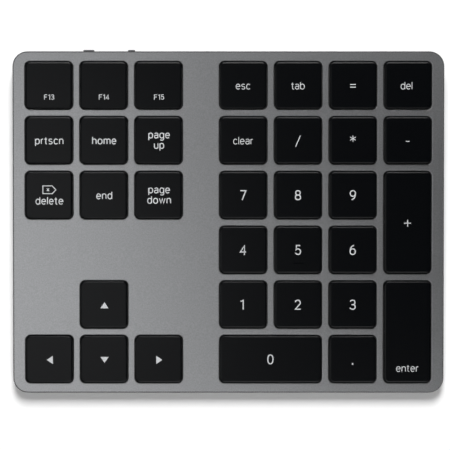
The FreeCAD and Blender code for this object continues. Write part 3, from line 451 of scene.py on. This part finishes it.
def make_top_case():
    """The case in place of its CAD node, with polished chamfers, and painted shade on the key openings'
    walls.
    """
    data = cut_from(case_blank(), rear_cutters())
    case = piece_from("case_top", data, ANODISED, CASE, CRISP_ANGLE)
    case.data.materials.append(POLISHED)
    case.data.materials.append(PAINTED_SHADE_WALL)
    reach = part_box("top_case")[1] - Vector((1, 1, 0)) * (CASE_WALL + CHAMFER_MARGIN)
    for face in case.data.polygons:
        tilt = face.normal.angle(DECK_NORMAL)
        within = abs(face.center.x) < reach.x and abs(face.center.y) < reach.y
        if CHAMFER_TILTS[0] < tilt < CHAMFER_TILTS[1]:
            face.material_index = 1
        # Steep faces well inside the outline are the key openings' walls, and they get the painted shade.
        elif within and WALL_TILTS[0] < tilt < WALL_TILTS[1]:
            face.material_index = 2
    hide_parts("top_case")


make_top_case()

# ---------------------------------------------------------------- keycaps


def cap_rings(length, width):
    """A hollow cap's skin, from the ceiling inside it, down and round its rim, to its top."""
    inner_length, inner_width = length - 2 * CAP_WALL, width - 2 * CAP_WALL
    inner_corner = CAP_CORNER - CAP_WALL
    inner = rounded_ring(inner_length, inner_width, inner_corner)
    rings = [(inner, CAP_RISE - CAP_TOP), (inner, -CAP_SKIRT)]
    foot = CAP_FOOT_EDGE
    rings.append((rounded_ring(length - 2 * foot, width - 2 * foot, CAP_CORNER - foot), -CAP_SKIRT))
    rings.append((rounded_ring(length, width, CAP_CORNER), -CAP_SKIRT + foot))
    for sine, cosine in quarter():
        inset = CAP_DRAFT + CAP_EDGE * (1 - cosine)
        points = rounded_ring(length - 2 * inset, width - 2 * inset, CAP_CORNER - inset)
        rings.append((points, CAP_RISE - CAP_SLOPE_DROP - CAP_EDGE * (1 - sine)))
    inset = CAP_DRAFT + CAP_EDGE + CAP_SLOPE
    rings.append((rounded_ring(length - 2 * inset, width - 2 * inset, CAP_CORNER - inset), CAP_RISE))
    return rings


CLIP_PLACES = ((1, 5.2 * MM), (-1, 3.4 * MM))
WIRE_CLIP_PLACES = ((1, 10.5 * MM),)
CLIP_OUTER = 6.1 * MM
CLIP_WALL = 0.35 * MM
CLIP_REACH = 0.9 * MM
CLIP_HALF = 0.8 * MM
CLIP_LIP = 0.2 * MM
CLIP_DROP = 1.05 * MM
CLIP_EDGE = 0.05 * MM
CLIP_EDGE_STEPS = 2


def add_clips(mesh, places):
    """Pairs of clips under a cap, each pair on the rear (1) or the front (-1), this far out."""
    ceiling = CAP_RISE - CAP_TOP
    for side, reach in places:
        for x in (-reach, reach):
            tab = sorted((side * CLIP_OUTER, side * (CLIP_OUTER - CLIP_WALL)))
            lip = sorted((side * CLIP_OUTER, side * (CLIP_OUTER - CLIP_REACH)))
            low = ceiling - CLIP_DROP
            soft_box(mesh, (x - CLIP_HALF, tab[0], low + CLIP_LIP / 2),
                     (x + CLIP_HALF, tab[1], ceiling + CLIP_EDGE), CLIP_EDGE, CLIP_EDGE_STEPS)
            soft_box(mesh, (x - CLIP_HALF, lip[0], low), (x + CLIP_HALF, lip[1], low + CLIP_LIP),
                     CLIP_EDGE, CLIP_EDGE_STEPS)


HOMING_BAR_LENGTH = 3.7 * MM
HOMING_BAR_WIDTH = 0.4 * MM
HOMING_BAR_INSET = 3.4 * MM
HOMING_BAR_RISE = 0.22 * MM
HOMING_BAR_FLANK = 0.15 * MM
HOMING_BAR_EDGE = 0.03 * MM
HOMING_BAR_STEPS = 2


def add_homing_bar(mesh, width):
    """A ridge with steep flanks across the front of a cap this wide."""
    middle = (0, -width / 2 + HOMING_BAR_INSET)
    foot, crest = (
        rounded_ring(HOMING_BAR_LENGTH - 2 * inset, HOMING_BAR_WIDTH - 2 * inset, HOMING_BAR_EDGE,
                     HOMING_BAR_STEPS, middle)
        for inset in (0, HOMING_BAR_FLANK)
    )
    loft(mesh, [(foot, CAP_RISE - HOMING_BAR_EDGE), (foot, CAP_RISE),
                (crest, CAP_RISE + HOMING_BAR_RISE)])


def make_keycap(node):
    """A cap in place of its CAD node. A tall one is built lying along x, and then turned."""
    low, high = KEY_BOXES[node]
    mesh = bmesh.new()
    length, width = high.x - low.x, high.y - low.y
    tall = width > LONG_KEY * length
    size = (width, length) if tall else (length, width)
    loft(mesh, cap_rings(*size))
    add_clips(mesh, CLIP_PLACES)
    if max(size) > LONG_KEY * min(size):
        add_clips(mesh, WIRE_CLIP_PLACES)
    if node == "key_five":
        add_homing_bar(mesh, width)
    middle = KEY_MIDDLES[node]
    turn = Matrix.Rotation(math.pi / 2 if tall else 0, 4, "Z")
    place = DECK @ Matrix.Translation((middle.x, middle.y, 0)) @ turn
    cap = finish_mesh(f"cap_{node.removeprefix('key_')}", mesh, place, KEYCAP, node)
    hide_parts(node)


for key in KEY_BOXES:
    make_keycap(key)

# ---------------------------------------------------------------- legends

LEGEND_DEPTH = 0.03 * MM
LEGEND_RISE = 0.012 * MM
STROKE_STEP = 0.0005 * MM
LETTER_STROKE = 0.34 * MM
FINE_STROKE = 0.25 * MM
DIGIT_STROKE = 0.40 * MM
SIGN_STROKE = 0.30 * MM
SMALL_STROKE = 0.25 * MM
LETTER_HEIGHT = 1.72 * MM
DIGIT_HEIGHT = 3.10 * MM
SMALL_HEIGHT = 1.60 * MM
LETTER_GAP = 0.33 * MM
DIGIT_GAP = 0.50 * MM
SMALL_GAP = 0.26 * MM
LEFT_BLOCK_SHIFT = 0.2 * MM
RIGHT_BLOCK_SHIFT = -0.1 * MM
LEGEND_SHIFTS = {"key_one": -0.5 * MM, "key_delete": -0.6 * MM}
OVAL_POWER = 2 / 2.3
CURVE_STEPS = 16


def arc(x, y, reach_x, reach_y, start, end, steps=CURVE_STEPS):
    """Points along a slightly squared oval, between two angles in degrees."""
    points = []
    for step in range(steps + 1):
        angle = math.radians(start + (end - start) * step / steps)
        cosine, sine = math.cos(angle), math.sin(angle)
        across = math.copysign(abs(cosine) ** OVAL_POWER, cosine)
        up = math.copysign(abs(sine) ** OVAL_POWER, sine)
        points.append((x + reach_x * across, y + reach_y * up))
    return points


def oval(x, y, reach_x, reach_y):
    """The whole of a slightly squared oval."""
    return arc(x, y, reach_x, reach_y, 0, 360, 2 * CURVE_STEPS)


# Each sign is its width and its strokes' middle lines. The small letters' body, the digits and
# the capital are all 1 high.
ARCH = arc(0.36, 0.60, 0.36, 0.40, 180, 0) + [(0.72, 0)]
BOWL = oval(0.39, 0.5, 0.39, 0.5)
LETTERS = {
    "a": (0.68, [arc(0.35, 0.70, 0.33, 0.30, 155, 0) + [(0.68, 0)],
                 [(0.68, 0.57)] + arc(0.32, 0.285, 0.32, 0.285, 90, 270) + [(0.46, 0.02), (0.68, 0.22)]]),
    "b": (0.78, [[(0, 0), (0, 1.42)], BOWL]),
    "c": (0.70, [arc(0.38, 0.5, 0.38, 0.5, 40, 320)]),
    "d": (0.78, [[(0.78, 0), (0.78, 1.42)], BOWL]),
    "e": (0.76, [[(0, 0.52)] + arc(0.38, 0.5, 0.38, 0.5, 2, 318)]),
    "g": (0.78, [[(0.78, 1)] + arc(0.40, -0.10, 0.38, 0.32, 0, -140), BOWL]),
    "h": (0.72, [[(0, 0), (0, 1.42)], ARCH]),
    "l": (0, [[(0, 0), (0, 1.42)]]),
    "m": (1.22, [[(0, 0), (0, 1)], arc(0.305, 0.62, 0.305, 0.38, 180, 0) + [(0.61, 0)],
                 arc(0.915, 0.62, 0.305, 0.38, 180, 0) + [(1.22, 0)]]),
    "n": (0.72, [[(0, 0), (0, 1)], ARCH]),
    "o": (0.82, [oval(0.41, 0.5, 0.41, 0.5)]),
    "p": (0.78, [[(0, -0.42), (0, 1)], BOWL]),
    "r": (0.36, [[(0, 0), (0, 1)], arc(0.36, 0.60, 0.36, 0.38, 180, 86)]),
    "s": (0.66, [arc(0.34, 0.755, 0.31, 0.245, 28, 250) + arc(0.33, 0.25, 0.33, 0.25, 70, -152)]),
    "t": (0.40, [[(0.16, 1.3)] + arc(0.40, 0.22, 0.24, 0.22, 180, 275), [(-0.10, 0.98), (0.40, 0.98)]]),
    "u": (0.72, [[(0, 1)] + arc(0.36, 0.40, 0.36, 0.40, 180, 360), [(0.72, 0), (0.72, 1)]]),
    "w": (1.12, [[(0, 1), (0.28, 0.03), (0.56, 0.97), (0.84, 0.03), (1.12, 1)]]),
    "F": (0.54, [[(0, -0.06), (0, 1)], [(0, 1), (0.60, 1)], [(0, 0.50), (0.54, 0.50)]]),
    "0": (0.58, [oval(0.29, 0.5, 0.29, 0.5)]),
    "1": (0.30, [[(0, 0.86), (0.30, 0.99), (0.30, -0.06)]]),
    "2": (0.60, [arc(0.29, 0.72, 0.28, 0.28, 168, -28) + [(0.02, 0), (0.62, 0)]]),
    "3": (0.57, [arc(0.28, 0.755, 0.26, 0.245, 160, -90), [(0.15, 0.51), (0.28, 0.51)],
                 arc(0.28, 0.255, 0.29, 0.255, 90, -160)]),
    "4": (0.62, [[(0.46, -0.06), (0.46, 0.98), (0.01, 0.27), (0.64, 0.27)]]),
    "5": (0.56, [[(0.54, 1), (0.12, 1), (0.06, 0.50)] + arc(0.28, 0.31, 0.29, 0.31, 128, -158)]),
    "6": (0.57, [arc(0.50, 0.30, 0.50, 0.70, 96, 180), oval(0.285, 0.31, 0.285, 0.31)]),
    "7": (0.60, [[(0, 1), (0.60, 1), (0.20, -0.06)]]),
    "8": (0.57, [oval(0.285, 0.755, 0.25, 0.245), oval(0.285, 0.255, 0.285, 0.255)]),
    "9": (0.57, [arc(0.07, 0.70, 0.50, 0.70, 276, 360), oval(0.285, 0.69, 0.285, 0.31)]),
}


def line_of_text(text, height, stroke, gap, base):
    """The strokes of a line of text, centred on its key, with the small letters' feet at base."""
    strokes = []
    left = 0
    for sign in text:
        width, lines = LETTERS[sign]
        for line in lines:
            strokes.append([(left + x * height, base + stroke / 2 + y * height) for x, y in line])
        left += width * height + stroke + gap
    shift = (stroke + gap - left) / 2
    return [([(x + shift, y) for x, y in line], stroke) for line in strokes]


SHARPEST_MITRE = 0.5


def add_stroke(mesh, points, width, low, high):
    """A flat bar that follows a line of points, with mitred bends and square ends."""
    path = [Vector(point) for point in points]
    closed = (path[0] - path[-1]).length < SAME_PLACE
    if closed:
        path.pop()
    count = len(path)
    sections = []
    for index, point in enumerate(path):
        before = path[index - 1] if closed or index else None
        after = path[(index + 1) % count] if closed or index < count - 1 else None
        into = (point - before).normalized() if before else (after - point).normalized()
        out = (after - point).normalized() if after else into
        along = (into + out).normalized()
        side = Vector((-along.y, along.x)) * width / 2 / max(SHARPEST_MITRE, along.dot(into))
        corners = ((point + side, low), (point - side, low), (point - side, high), (point + side, high))
        sections.append([mesh.verts.new((place.x, place.y, z)) for place, z in corners])
    pairs = list(zip(sections, sections[1:]))
    if closed:
        pairs.append((sections[-1], sections[0]))
    else:
        mesh.faces.new(sections[0])
        mesh.faces.new(list(reversed(sections[-1])))
    for first, second in pairs:
        for corner in range(4):
            follow = (corner + 1) % 4
            mesh.faces.new((first[corner], second[corner], second[follow], first[follow]))


def add_legend(node, strokes=(), outlines=()):
    """One piece on a keycap, of strokes with their widths and of filled outlines.

    Each stroke is a hair higher than the last, so that no two tops lie in one plane.
    """
    mesh = bmesh.new()
    low = CAP_RISE - LEGEND_DEPTH
    high = CAP_RISE + LEGEND_RISE
    for index, (points, width) in enumerate(strokes):
        add_stroke(mesh, points, width, low, high + index * STROKE_STEP)
    for points in outlines:
        loft(mesh, [(points, low), (points, high)])
    middle = KEY_MIDDLES[node]
    shift = LEGEND_SHIFTS.get(node, LEFT_BLOCK_SHIFT if middle.x < 0 else RIGHT_BLOCK_SHIFT)
    place = DECK @ Matrix.Translation((middle.x + shift, middle.y, 0))
    finish_mesh(f"legend_{node.removeprefix('key_')}", mesh, place, LEGEND, node)


def letters(text, base, stroke=LETTER_STROKE):
    """A word in the legends' main size."""
    return line_of_text(text, LETTER_HEIGHT, stroke, LETTER_GAP, base)


WORD_BASE = -1.45 * MM
UPPER_BASE = 0.6 * MM
LOWER_BASE = -3.0 * MM
WORDS = {
    "print_screen": [("prtscn", WORD_BASE)],
    "home": [("home", WORD_BASE)],
    "page_up": [("page", UPPER_BASE), ("up", LOWER_BASE)],
    "end": [("end", WORD_BASE)],
    "page_down": [("page", UPPER_BASE), ("down", LOWER_BASE)],
    "escape": [("esc", WORD_BASE)],
    "tab": [("tab", WORD_BASE)],
    "delete": [("del", WORD_BASE)],
    "clear": [("clear", WORD_BASE)],
}
for key, lines in WORDS.items():
    weight = FINE_STROKE if KEY_MIDDLES[f"key_{key}"].x > 0 else LETTER_STROKE
    strokes = [stroke for text, base in lines for stroke in letters(text, base, weight)]
    add_legend(f"key_{key}", strokes)

ENTER_BASE = 3.65 * MM
enter_front = (KEY_BOXES["key_enter"][0].y - KEY_BOXES["key_enter"][1].y) / 2
add_legend("key_enter", letters("enter", enter_front + ENTER_BASE, FINE_STROKE))

DIGITS = {
    "zero": "0", "one": "1", "two": "2", "three": "3", "four": "4",
    "five": "5", "six": "6", "seven": "7", "eight": "8", "nine": "9",
}
DIGIT_BASE = -(DIGIT_HEIGHT + DIGIT_STROKE) / 2
for key, digit in DIGITS.items():
    strokes = line_of_text(digit, DIGIT_HEIGHT, DIGIT_STROKE, DIGIT_GAP, DIGIT_BASE)
    add_legend(f"key_{key}", strokes)

FUNCTION_BASE = -5.0 * MM
for key in ("f13", "f14", "f15"):
    strokes = line_of_text(key.upper(), SMALL_HEIGHT, SMALL_STROKE, SMALL_GAP, FUNCTION_BASE)
    add_legend(f"key_{key}", strokes)

ARROW_HALF_BASE = 1.42 * MM
ARROW_HEIGHT = 2.1 * MM
ARROW_DROP = Vector((0, 0.2 * MM))
ARROWS = {"arrow_up": 90, "arrow_left": 180, "arrow_down": 270, "arrow_right": 0}
for key, degrees in ARROWS.items():
    turn = Matrix.Rotation(math.radians(degrees), 2)
    half = ARROW_HEIGHT / 2
    corners = ((half, 0), (-half, ARROW_HALF_BASE), (-half, -ARROW_HALF_BASE))
    outline = [tuple(turn @ Vector(corner) - ARROW_DROP) for corner in corners]
    add_legend(f"key_{key}", outlines=[outline])


def spokes(x, y, radius, directions, stroke):
    """Straight strokes through a middle, at angles in degrees."""
    made = []
    for degrees in directions:
        across, up = radius * math.cos(math.radians(degrees)), radius * math.sin(math.radians(degrees))
        made.append(([(x - across, y - up), (x + across, y + up)], stroke))
    return made


def level(y, length):
    """A level stroke across a key's middle."""
    return ([(-length / 2, y), (length / 2, y)], SIGN_STROKE)


EQUALS_LENGTH = 2.0 * MM
EQUALS_HEIGHTS = (0.28 * MM, -0.66 * MM)
MINUS_LENGTH = 1.3 * MM
MINUS_HEIGHT = -0.38 * MM
PLUS_REACH = 1.2 * MM
PLUS_HEIGHT = -0.2 * MM
SLASH_REACH = 2.1 * MM
SLASH_HEIGHT = -0.3 * MM
SLASH_TURN = 67
STAR_REACH = 1.1 * MM
STAR_HEIGHT = 0.55 * MM
STAR_STROKE = 0.25 * MM
POINT_RADIUS = 0.29 * MM
POINT_HEIGHT = -1.6 * MM
POINT_STEPS = 24
add_legend("key_equals", [level(height, EQUALS_LENGTH) for height in EQUALS_HEIGHTS])
add_legend("key_minus", [level(MINUS_HEIGHT, MINUS_LENGTH)])
add_legend("key_plus", spokes(0, PLUS_HEIGHT, PLUS_REACH, (0, 90), SIGN_STROKE))
add_legend("key_divide", spokes(0, SLASH_HEIGHT, SLASH_REACH, (SLASH_TURN,), SIGN_STROKE))
add_legend("key_multiply", spokes(0, STAR_HEIGHT, STAR_REACH, (90, 30, 150), STAR_STROKE))
add_legend("key_point", outlines=[round_ring(POINT_RADIUS, POINT_STEPS, (0, POINT_HEIGHT))])

ICON_MIDDLE = 1.87 * MM
ICON_STROKE = 0.29 * MM
ICON_HALF_WIDTH = 2.25 * MM
ICON_HALF_HEIGHT = 1.35 * MM
ICON_NOSE = 1.25 * MM
CROSS_REACH = 0.62 * MM
CROSS_SHIFT = -0.5 * MM
CROSS_TURNS = (50, 130)
LOWEST_BASE = -3.3 * MM
tag = [
    (-ICON_HALF_WIDTH, ICON_MIDDLE - ICON_HALF_HEIGHT),
    (ICON_HALF_WIDTH - ICON_NOSE, ICON_MIDDLE - ICON_HALF_HEIGHT),
    (ICON_HALF_WIDTH, ICON_MIDDLE),
    (ICON_HALF_WIDTH - ICON_NOSE, ICON_MIDDLE + ICON_HALF_HEIGHT),
    (-ICON_HALF_WIDTH, ICON_MIDDLE + ICON_HALF_HEIGHT),
]
cross = spokes(CROSS_SHIFT, ICON_MIDDLE, CROSS_REACH, CROSS_TURNS, ICON_STROKE)
icon = [(tag + tag[:1], ICON_STROKE)] + cross
add_legend("key_delete_forward", icon + letters("delete", LOWEST_BASE))

# ---------------------------------------------------------------- key mechanism


def split_islands(node):
    """The separate solids of a CAD node, each as a mesh of its own."""
    mesh = bmesh.new()
    mesh.from_mesh(nodes[node].data)
    bmesh.ops.remove_doubles(mesh, verts=mesh.verts, dist=SAME_PLACE)
    seen = set()
    made = []
    for start in mesh.verts:
        if start in seen:
            continue
        seen.add(start)
        island = [start]
        for vertex in island:
            for link in vertex.link_edges:
                other = link.other_vert(vertex)
                if other not in seen:
                    seen.add(other)
                    island.append(other)
        copy = bmesh.new()
        twins = {vertex: copy.verts.new(vertex.co) for vertex in island}
        for face in dict.fromkeys(face for vertex in island for face in vertex.link_faces):
            copy.faces.new([twins[vertex] for vertex in face.verts])
        made.append(copy)
    mesh.free()
    return made


def nearest_key(mesh):
    """The key whose middle in plan is nearest to the mesh's."""
    into_deck = DECK.inverted()
    total = Vector()
    for vertex in mesh.verts:
        total += into_deck @ vertex.co
    middle = total / len(mesh.verts)
    return min(KEY_MIDDLES, key=lambda node: (KEY_MIDDLES[node].xy - middle.xy).length)


def make_folding(node, label, material):
    """Each dome, lever or wire as a piece of its own on the case, with a mesh of its own."""
    for mesh in split_islands(node):
        key = nearest_key(mesh)
        name = f"{label}_{key.removeprefix('key_')}"
        piece = finish_mesh(name, mesh, Matrix(), material, CASE, CRISP_ANGLE)
        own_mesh(piece)
        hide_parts(node)


make_folding("rubber_domes", "dome", SILICONE)
make_folding("scissor_outer_levers", "outer_lever", LEVER)
make_folding("scissor_inner_levers", "inner_lever", LEVER)
make_folding("stabiliser_wires", "stabiliser", PLATE_STEEL)

# ---------------------------------------------------------------- contacts in the port

CONTACTS = 12
CONTACT_PITCH = 0.5 * MM
CONTACT_WIDTH = 0.26 * MM
CONTACT_LENGTH = 3.2 * MM
CONTACT_SETBACK = 0.35 * MM
CONTACT_DEPTH = 0.03 * MM
CONTACT_EDGE = 0.01 * MM
TONGUE_THICKNESS = 0.7 * MM


def make_port_contacts():
    """The gold contacts on both faces of the tongue in the port."""
    low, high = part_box("usb_c_tongue")
    middle = (low + high) / 2
    end = high.y - CONTACT_SETBACK
    mesh = bmesh.new()
    for index in range(CONTACTS):
        left = middle.x + (index - (CONTACTS - 1) / 2) * CONTACT_PITCH - CONTACT_WIDTH / 2
        for side in (1, -1):
            face = middle.z + side * TONGUE_THICKNESS / 2
            soft_box(mesh, (left, end - CONTACT_LENGTH, face - CONTACT_DEPTH),
                     (left + CONTACT_WIDTH, end, face + CONTACT_DEPTH), CONTACT_EDGE, 1)
    finish_mesh("port_contacts", mesh, Matrix(), GOLD, CASE)


make_port_contacts()

# ---------------------------------------------------------------- materials of the CAD nodes

NODE_MATERIALS = {
    "bottom_cover": COVER,
    "rubber_feet": RUBBER,
    "cover_screws": DARK_STEEL,
    "support_plate": PLATE_STEEL,
    "plate_screws": DARK_STEEL,
    "switch_membrane": FILM,
    "membrane_tail": FILM,
    "tail_connector": CONNECTOR,
    "main_board": BOARD,
    "board_screws": DARK_STEEL,
    "radio_controller": TINNED,
    "battery": FOIL,
    "battery_tape": FOAM,
    "battery_leads": LEAD,
    "battery_connector": CONNECTOR,
    "usb_c_shell": TINNED,
    "usb_c_tongue": BLACK_PLASTIC,
    "power_switch_body": BLACK_PLASTIC,
    "pairing_switch_body": BLACK_PLASTIC,
    "power_switch_knob": CONTROL,
    "pairing_button": CONTROL,
}
for node, material in NODE_MATERIALS.items():
    data = nodes[node].data
    data.materials.clear()
    data.materials.append(material)

# ---------------------------------------------------------------- floor, light and camera

FLOOR_SIZE = 6
FLOOR_COLOR = (0.93, 0.93, 0.93)
FLOOR_ROUGHNESS = 0.9
GLOW_START = 0.3
GLOW_END = 1.5
GLOW_STRENGTH = 0.6


def glow_far_off(tree, shader):
    """Lets the floor shine a little far from the object, so that it meets the backdrop evenly."""
    place = tree.nodes.new("ShaderNodeTexCoord")
    reach = tree.nodes.new("ShaderNodeVectorMath")
    reach.operation = "LENGTH"
    tree.links.new(place.outputs["Object"], reach.inputs[0])
    glow = tree.nodes.new("ShaderNodeMapRange")
    glow.interpolation_type = "SMOOTHSTEP"
    glow.inputs["From Min"].default_value = GLOW_START
    glow.inputs["From Max"].default_value = GLOW_END
    glow.inputs["To Min"].default_value = 0
    glow.inputs["To Max"].default_value = GLOW_STRENGTH
    tree.links.new(reach.outputs["Value"], glow.inputs["Value"])
    tree.links.new(glow.outputs["Result"], shader.inputs["Emission Strength"])
    shader.inputs["Emission Color"].default_value = (1, 1, 1, 1)


bpy.ops.mesh.primitive_plane_add(size=FLOOR_SIZE, location=(0, 0, 0))
floor = bpy.context.object
floor.name = "floor"
floor_material, floor_tree, floor_shader = new_material("floor_white", FLOOR_COLOR, FLOOR_ROUGHNESS)
glow_far_off(floor_tree, floor_shader)
floor.data.materials.append(floor_material)


def area_light(name, location, width, height, power):
    """A rectangular light aimed at the object, which the camera doesn't see."""
    light = bpy.data.lights.new(name, "AREA")
    light.shape = "RECTANGLE"
    light.size = width
    light.size_y = height
    light.energy = power
    item = bpy.data.objects.new(name, light)
    bpy.context.scene.collection.objects.link(item)
    item.location = location
    item.rotation_euler = (-Vector(location)).to_track_quat("-Z", "Y").to_euler()
    item.visible_camera = False


# The overhead light, the front light's place, both their powers and the rear light's power come from
# a least-squares fit to the photograph's brightness, and so do the brightness and roughness of
# ANODISED. The rear light's direction and size, and the front light's size, were not fitted but given.
area_light("rear_light", (0.02, 0.745, 1.065), width=0.45, height=0.62, power=18.5)
area_light("overhead_light", (-0.287, -0.149, 1.2), width=0.37, height=0.5, power=1.17)
area_light("front_light", (0.036, -0.375, 0.6), width=0.3, height=0.3, power=1.04)

SKY_STRENGTH = 0.8
# How light the backdrop is at each height, from 0 at the horizon to 1 overhead.
SKY = [(0.0, 1.0), (0.025, 0.95), (0.06, 0.16), (0.5, 0.24), (0.9, 0.05)]


def make_backdrop():
    """A studio of light at the horizon and shade above."""
    world = bpy.data.worlds.new("studio")
    bpy.context.scene.world = world
    world.use_nodes = True
    tree = world.node_tree
    background = tree.nodes["Background"]
    background.inputs["Strength"].default_value = SKY_STRENGTH
    direction = tree.nodes.new("ShaderNodeTexCoord")
    split = tree.nodes.new("ShaderNodeSeparateXYZ")
    ramp = tree.nodes.new("ShaderNodeValToRGB")
    tree.links.new(direction.outputs["Generated"], split.inputs["Vector"])
    tree.links.new(split.outputs["Z"], ramp.inputs["Fac"])
    tree.links.new(ramp.outputs["Color"], background.inputs["Color"])
    stops = ramp.color_ramp.elements
    while len(stops) < len(SKY):
        stops.new(1)
    for stop, (height, light) in zip(stops, SKY):
        stop.position = height
        stop.color = (light, light, light, 1)


make_backdrop()
bpy.context.scene.view_settings.view_transform = "Standard"

# The camera looks straight down at this point, and sees this width there.
VIEW_MIDDLE = Vector((-1.18 * MM, -0.9 * MM, 9 * MM))
VIEW_WIDTH = 156.375 * MM
LENS = 200
SENSOR = 36
CLIP_END = 20
camera_data = bpy.data.cameras.new("camera")
camera_data.lens = LENS
camera_data.sensor_width = SENSOR
camera_data.clip_end = CLIP_END
camera = bpy.data.objects.new("camera", camera_data)
bpy.context.scene.collection.objects.link(camera)
camera.location = VIEW_MIDDLE + Vector((0, 0, VIEW_WIDTH * LENS / SENSOR))
bpy.context.scene.camera = camera
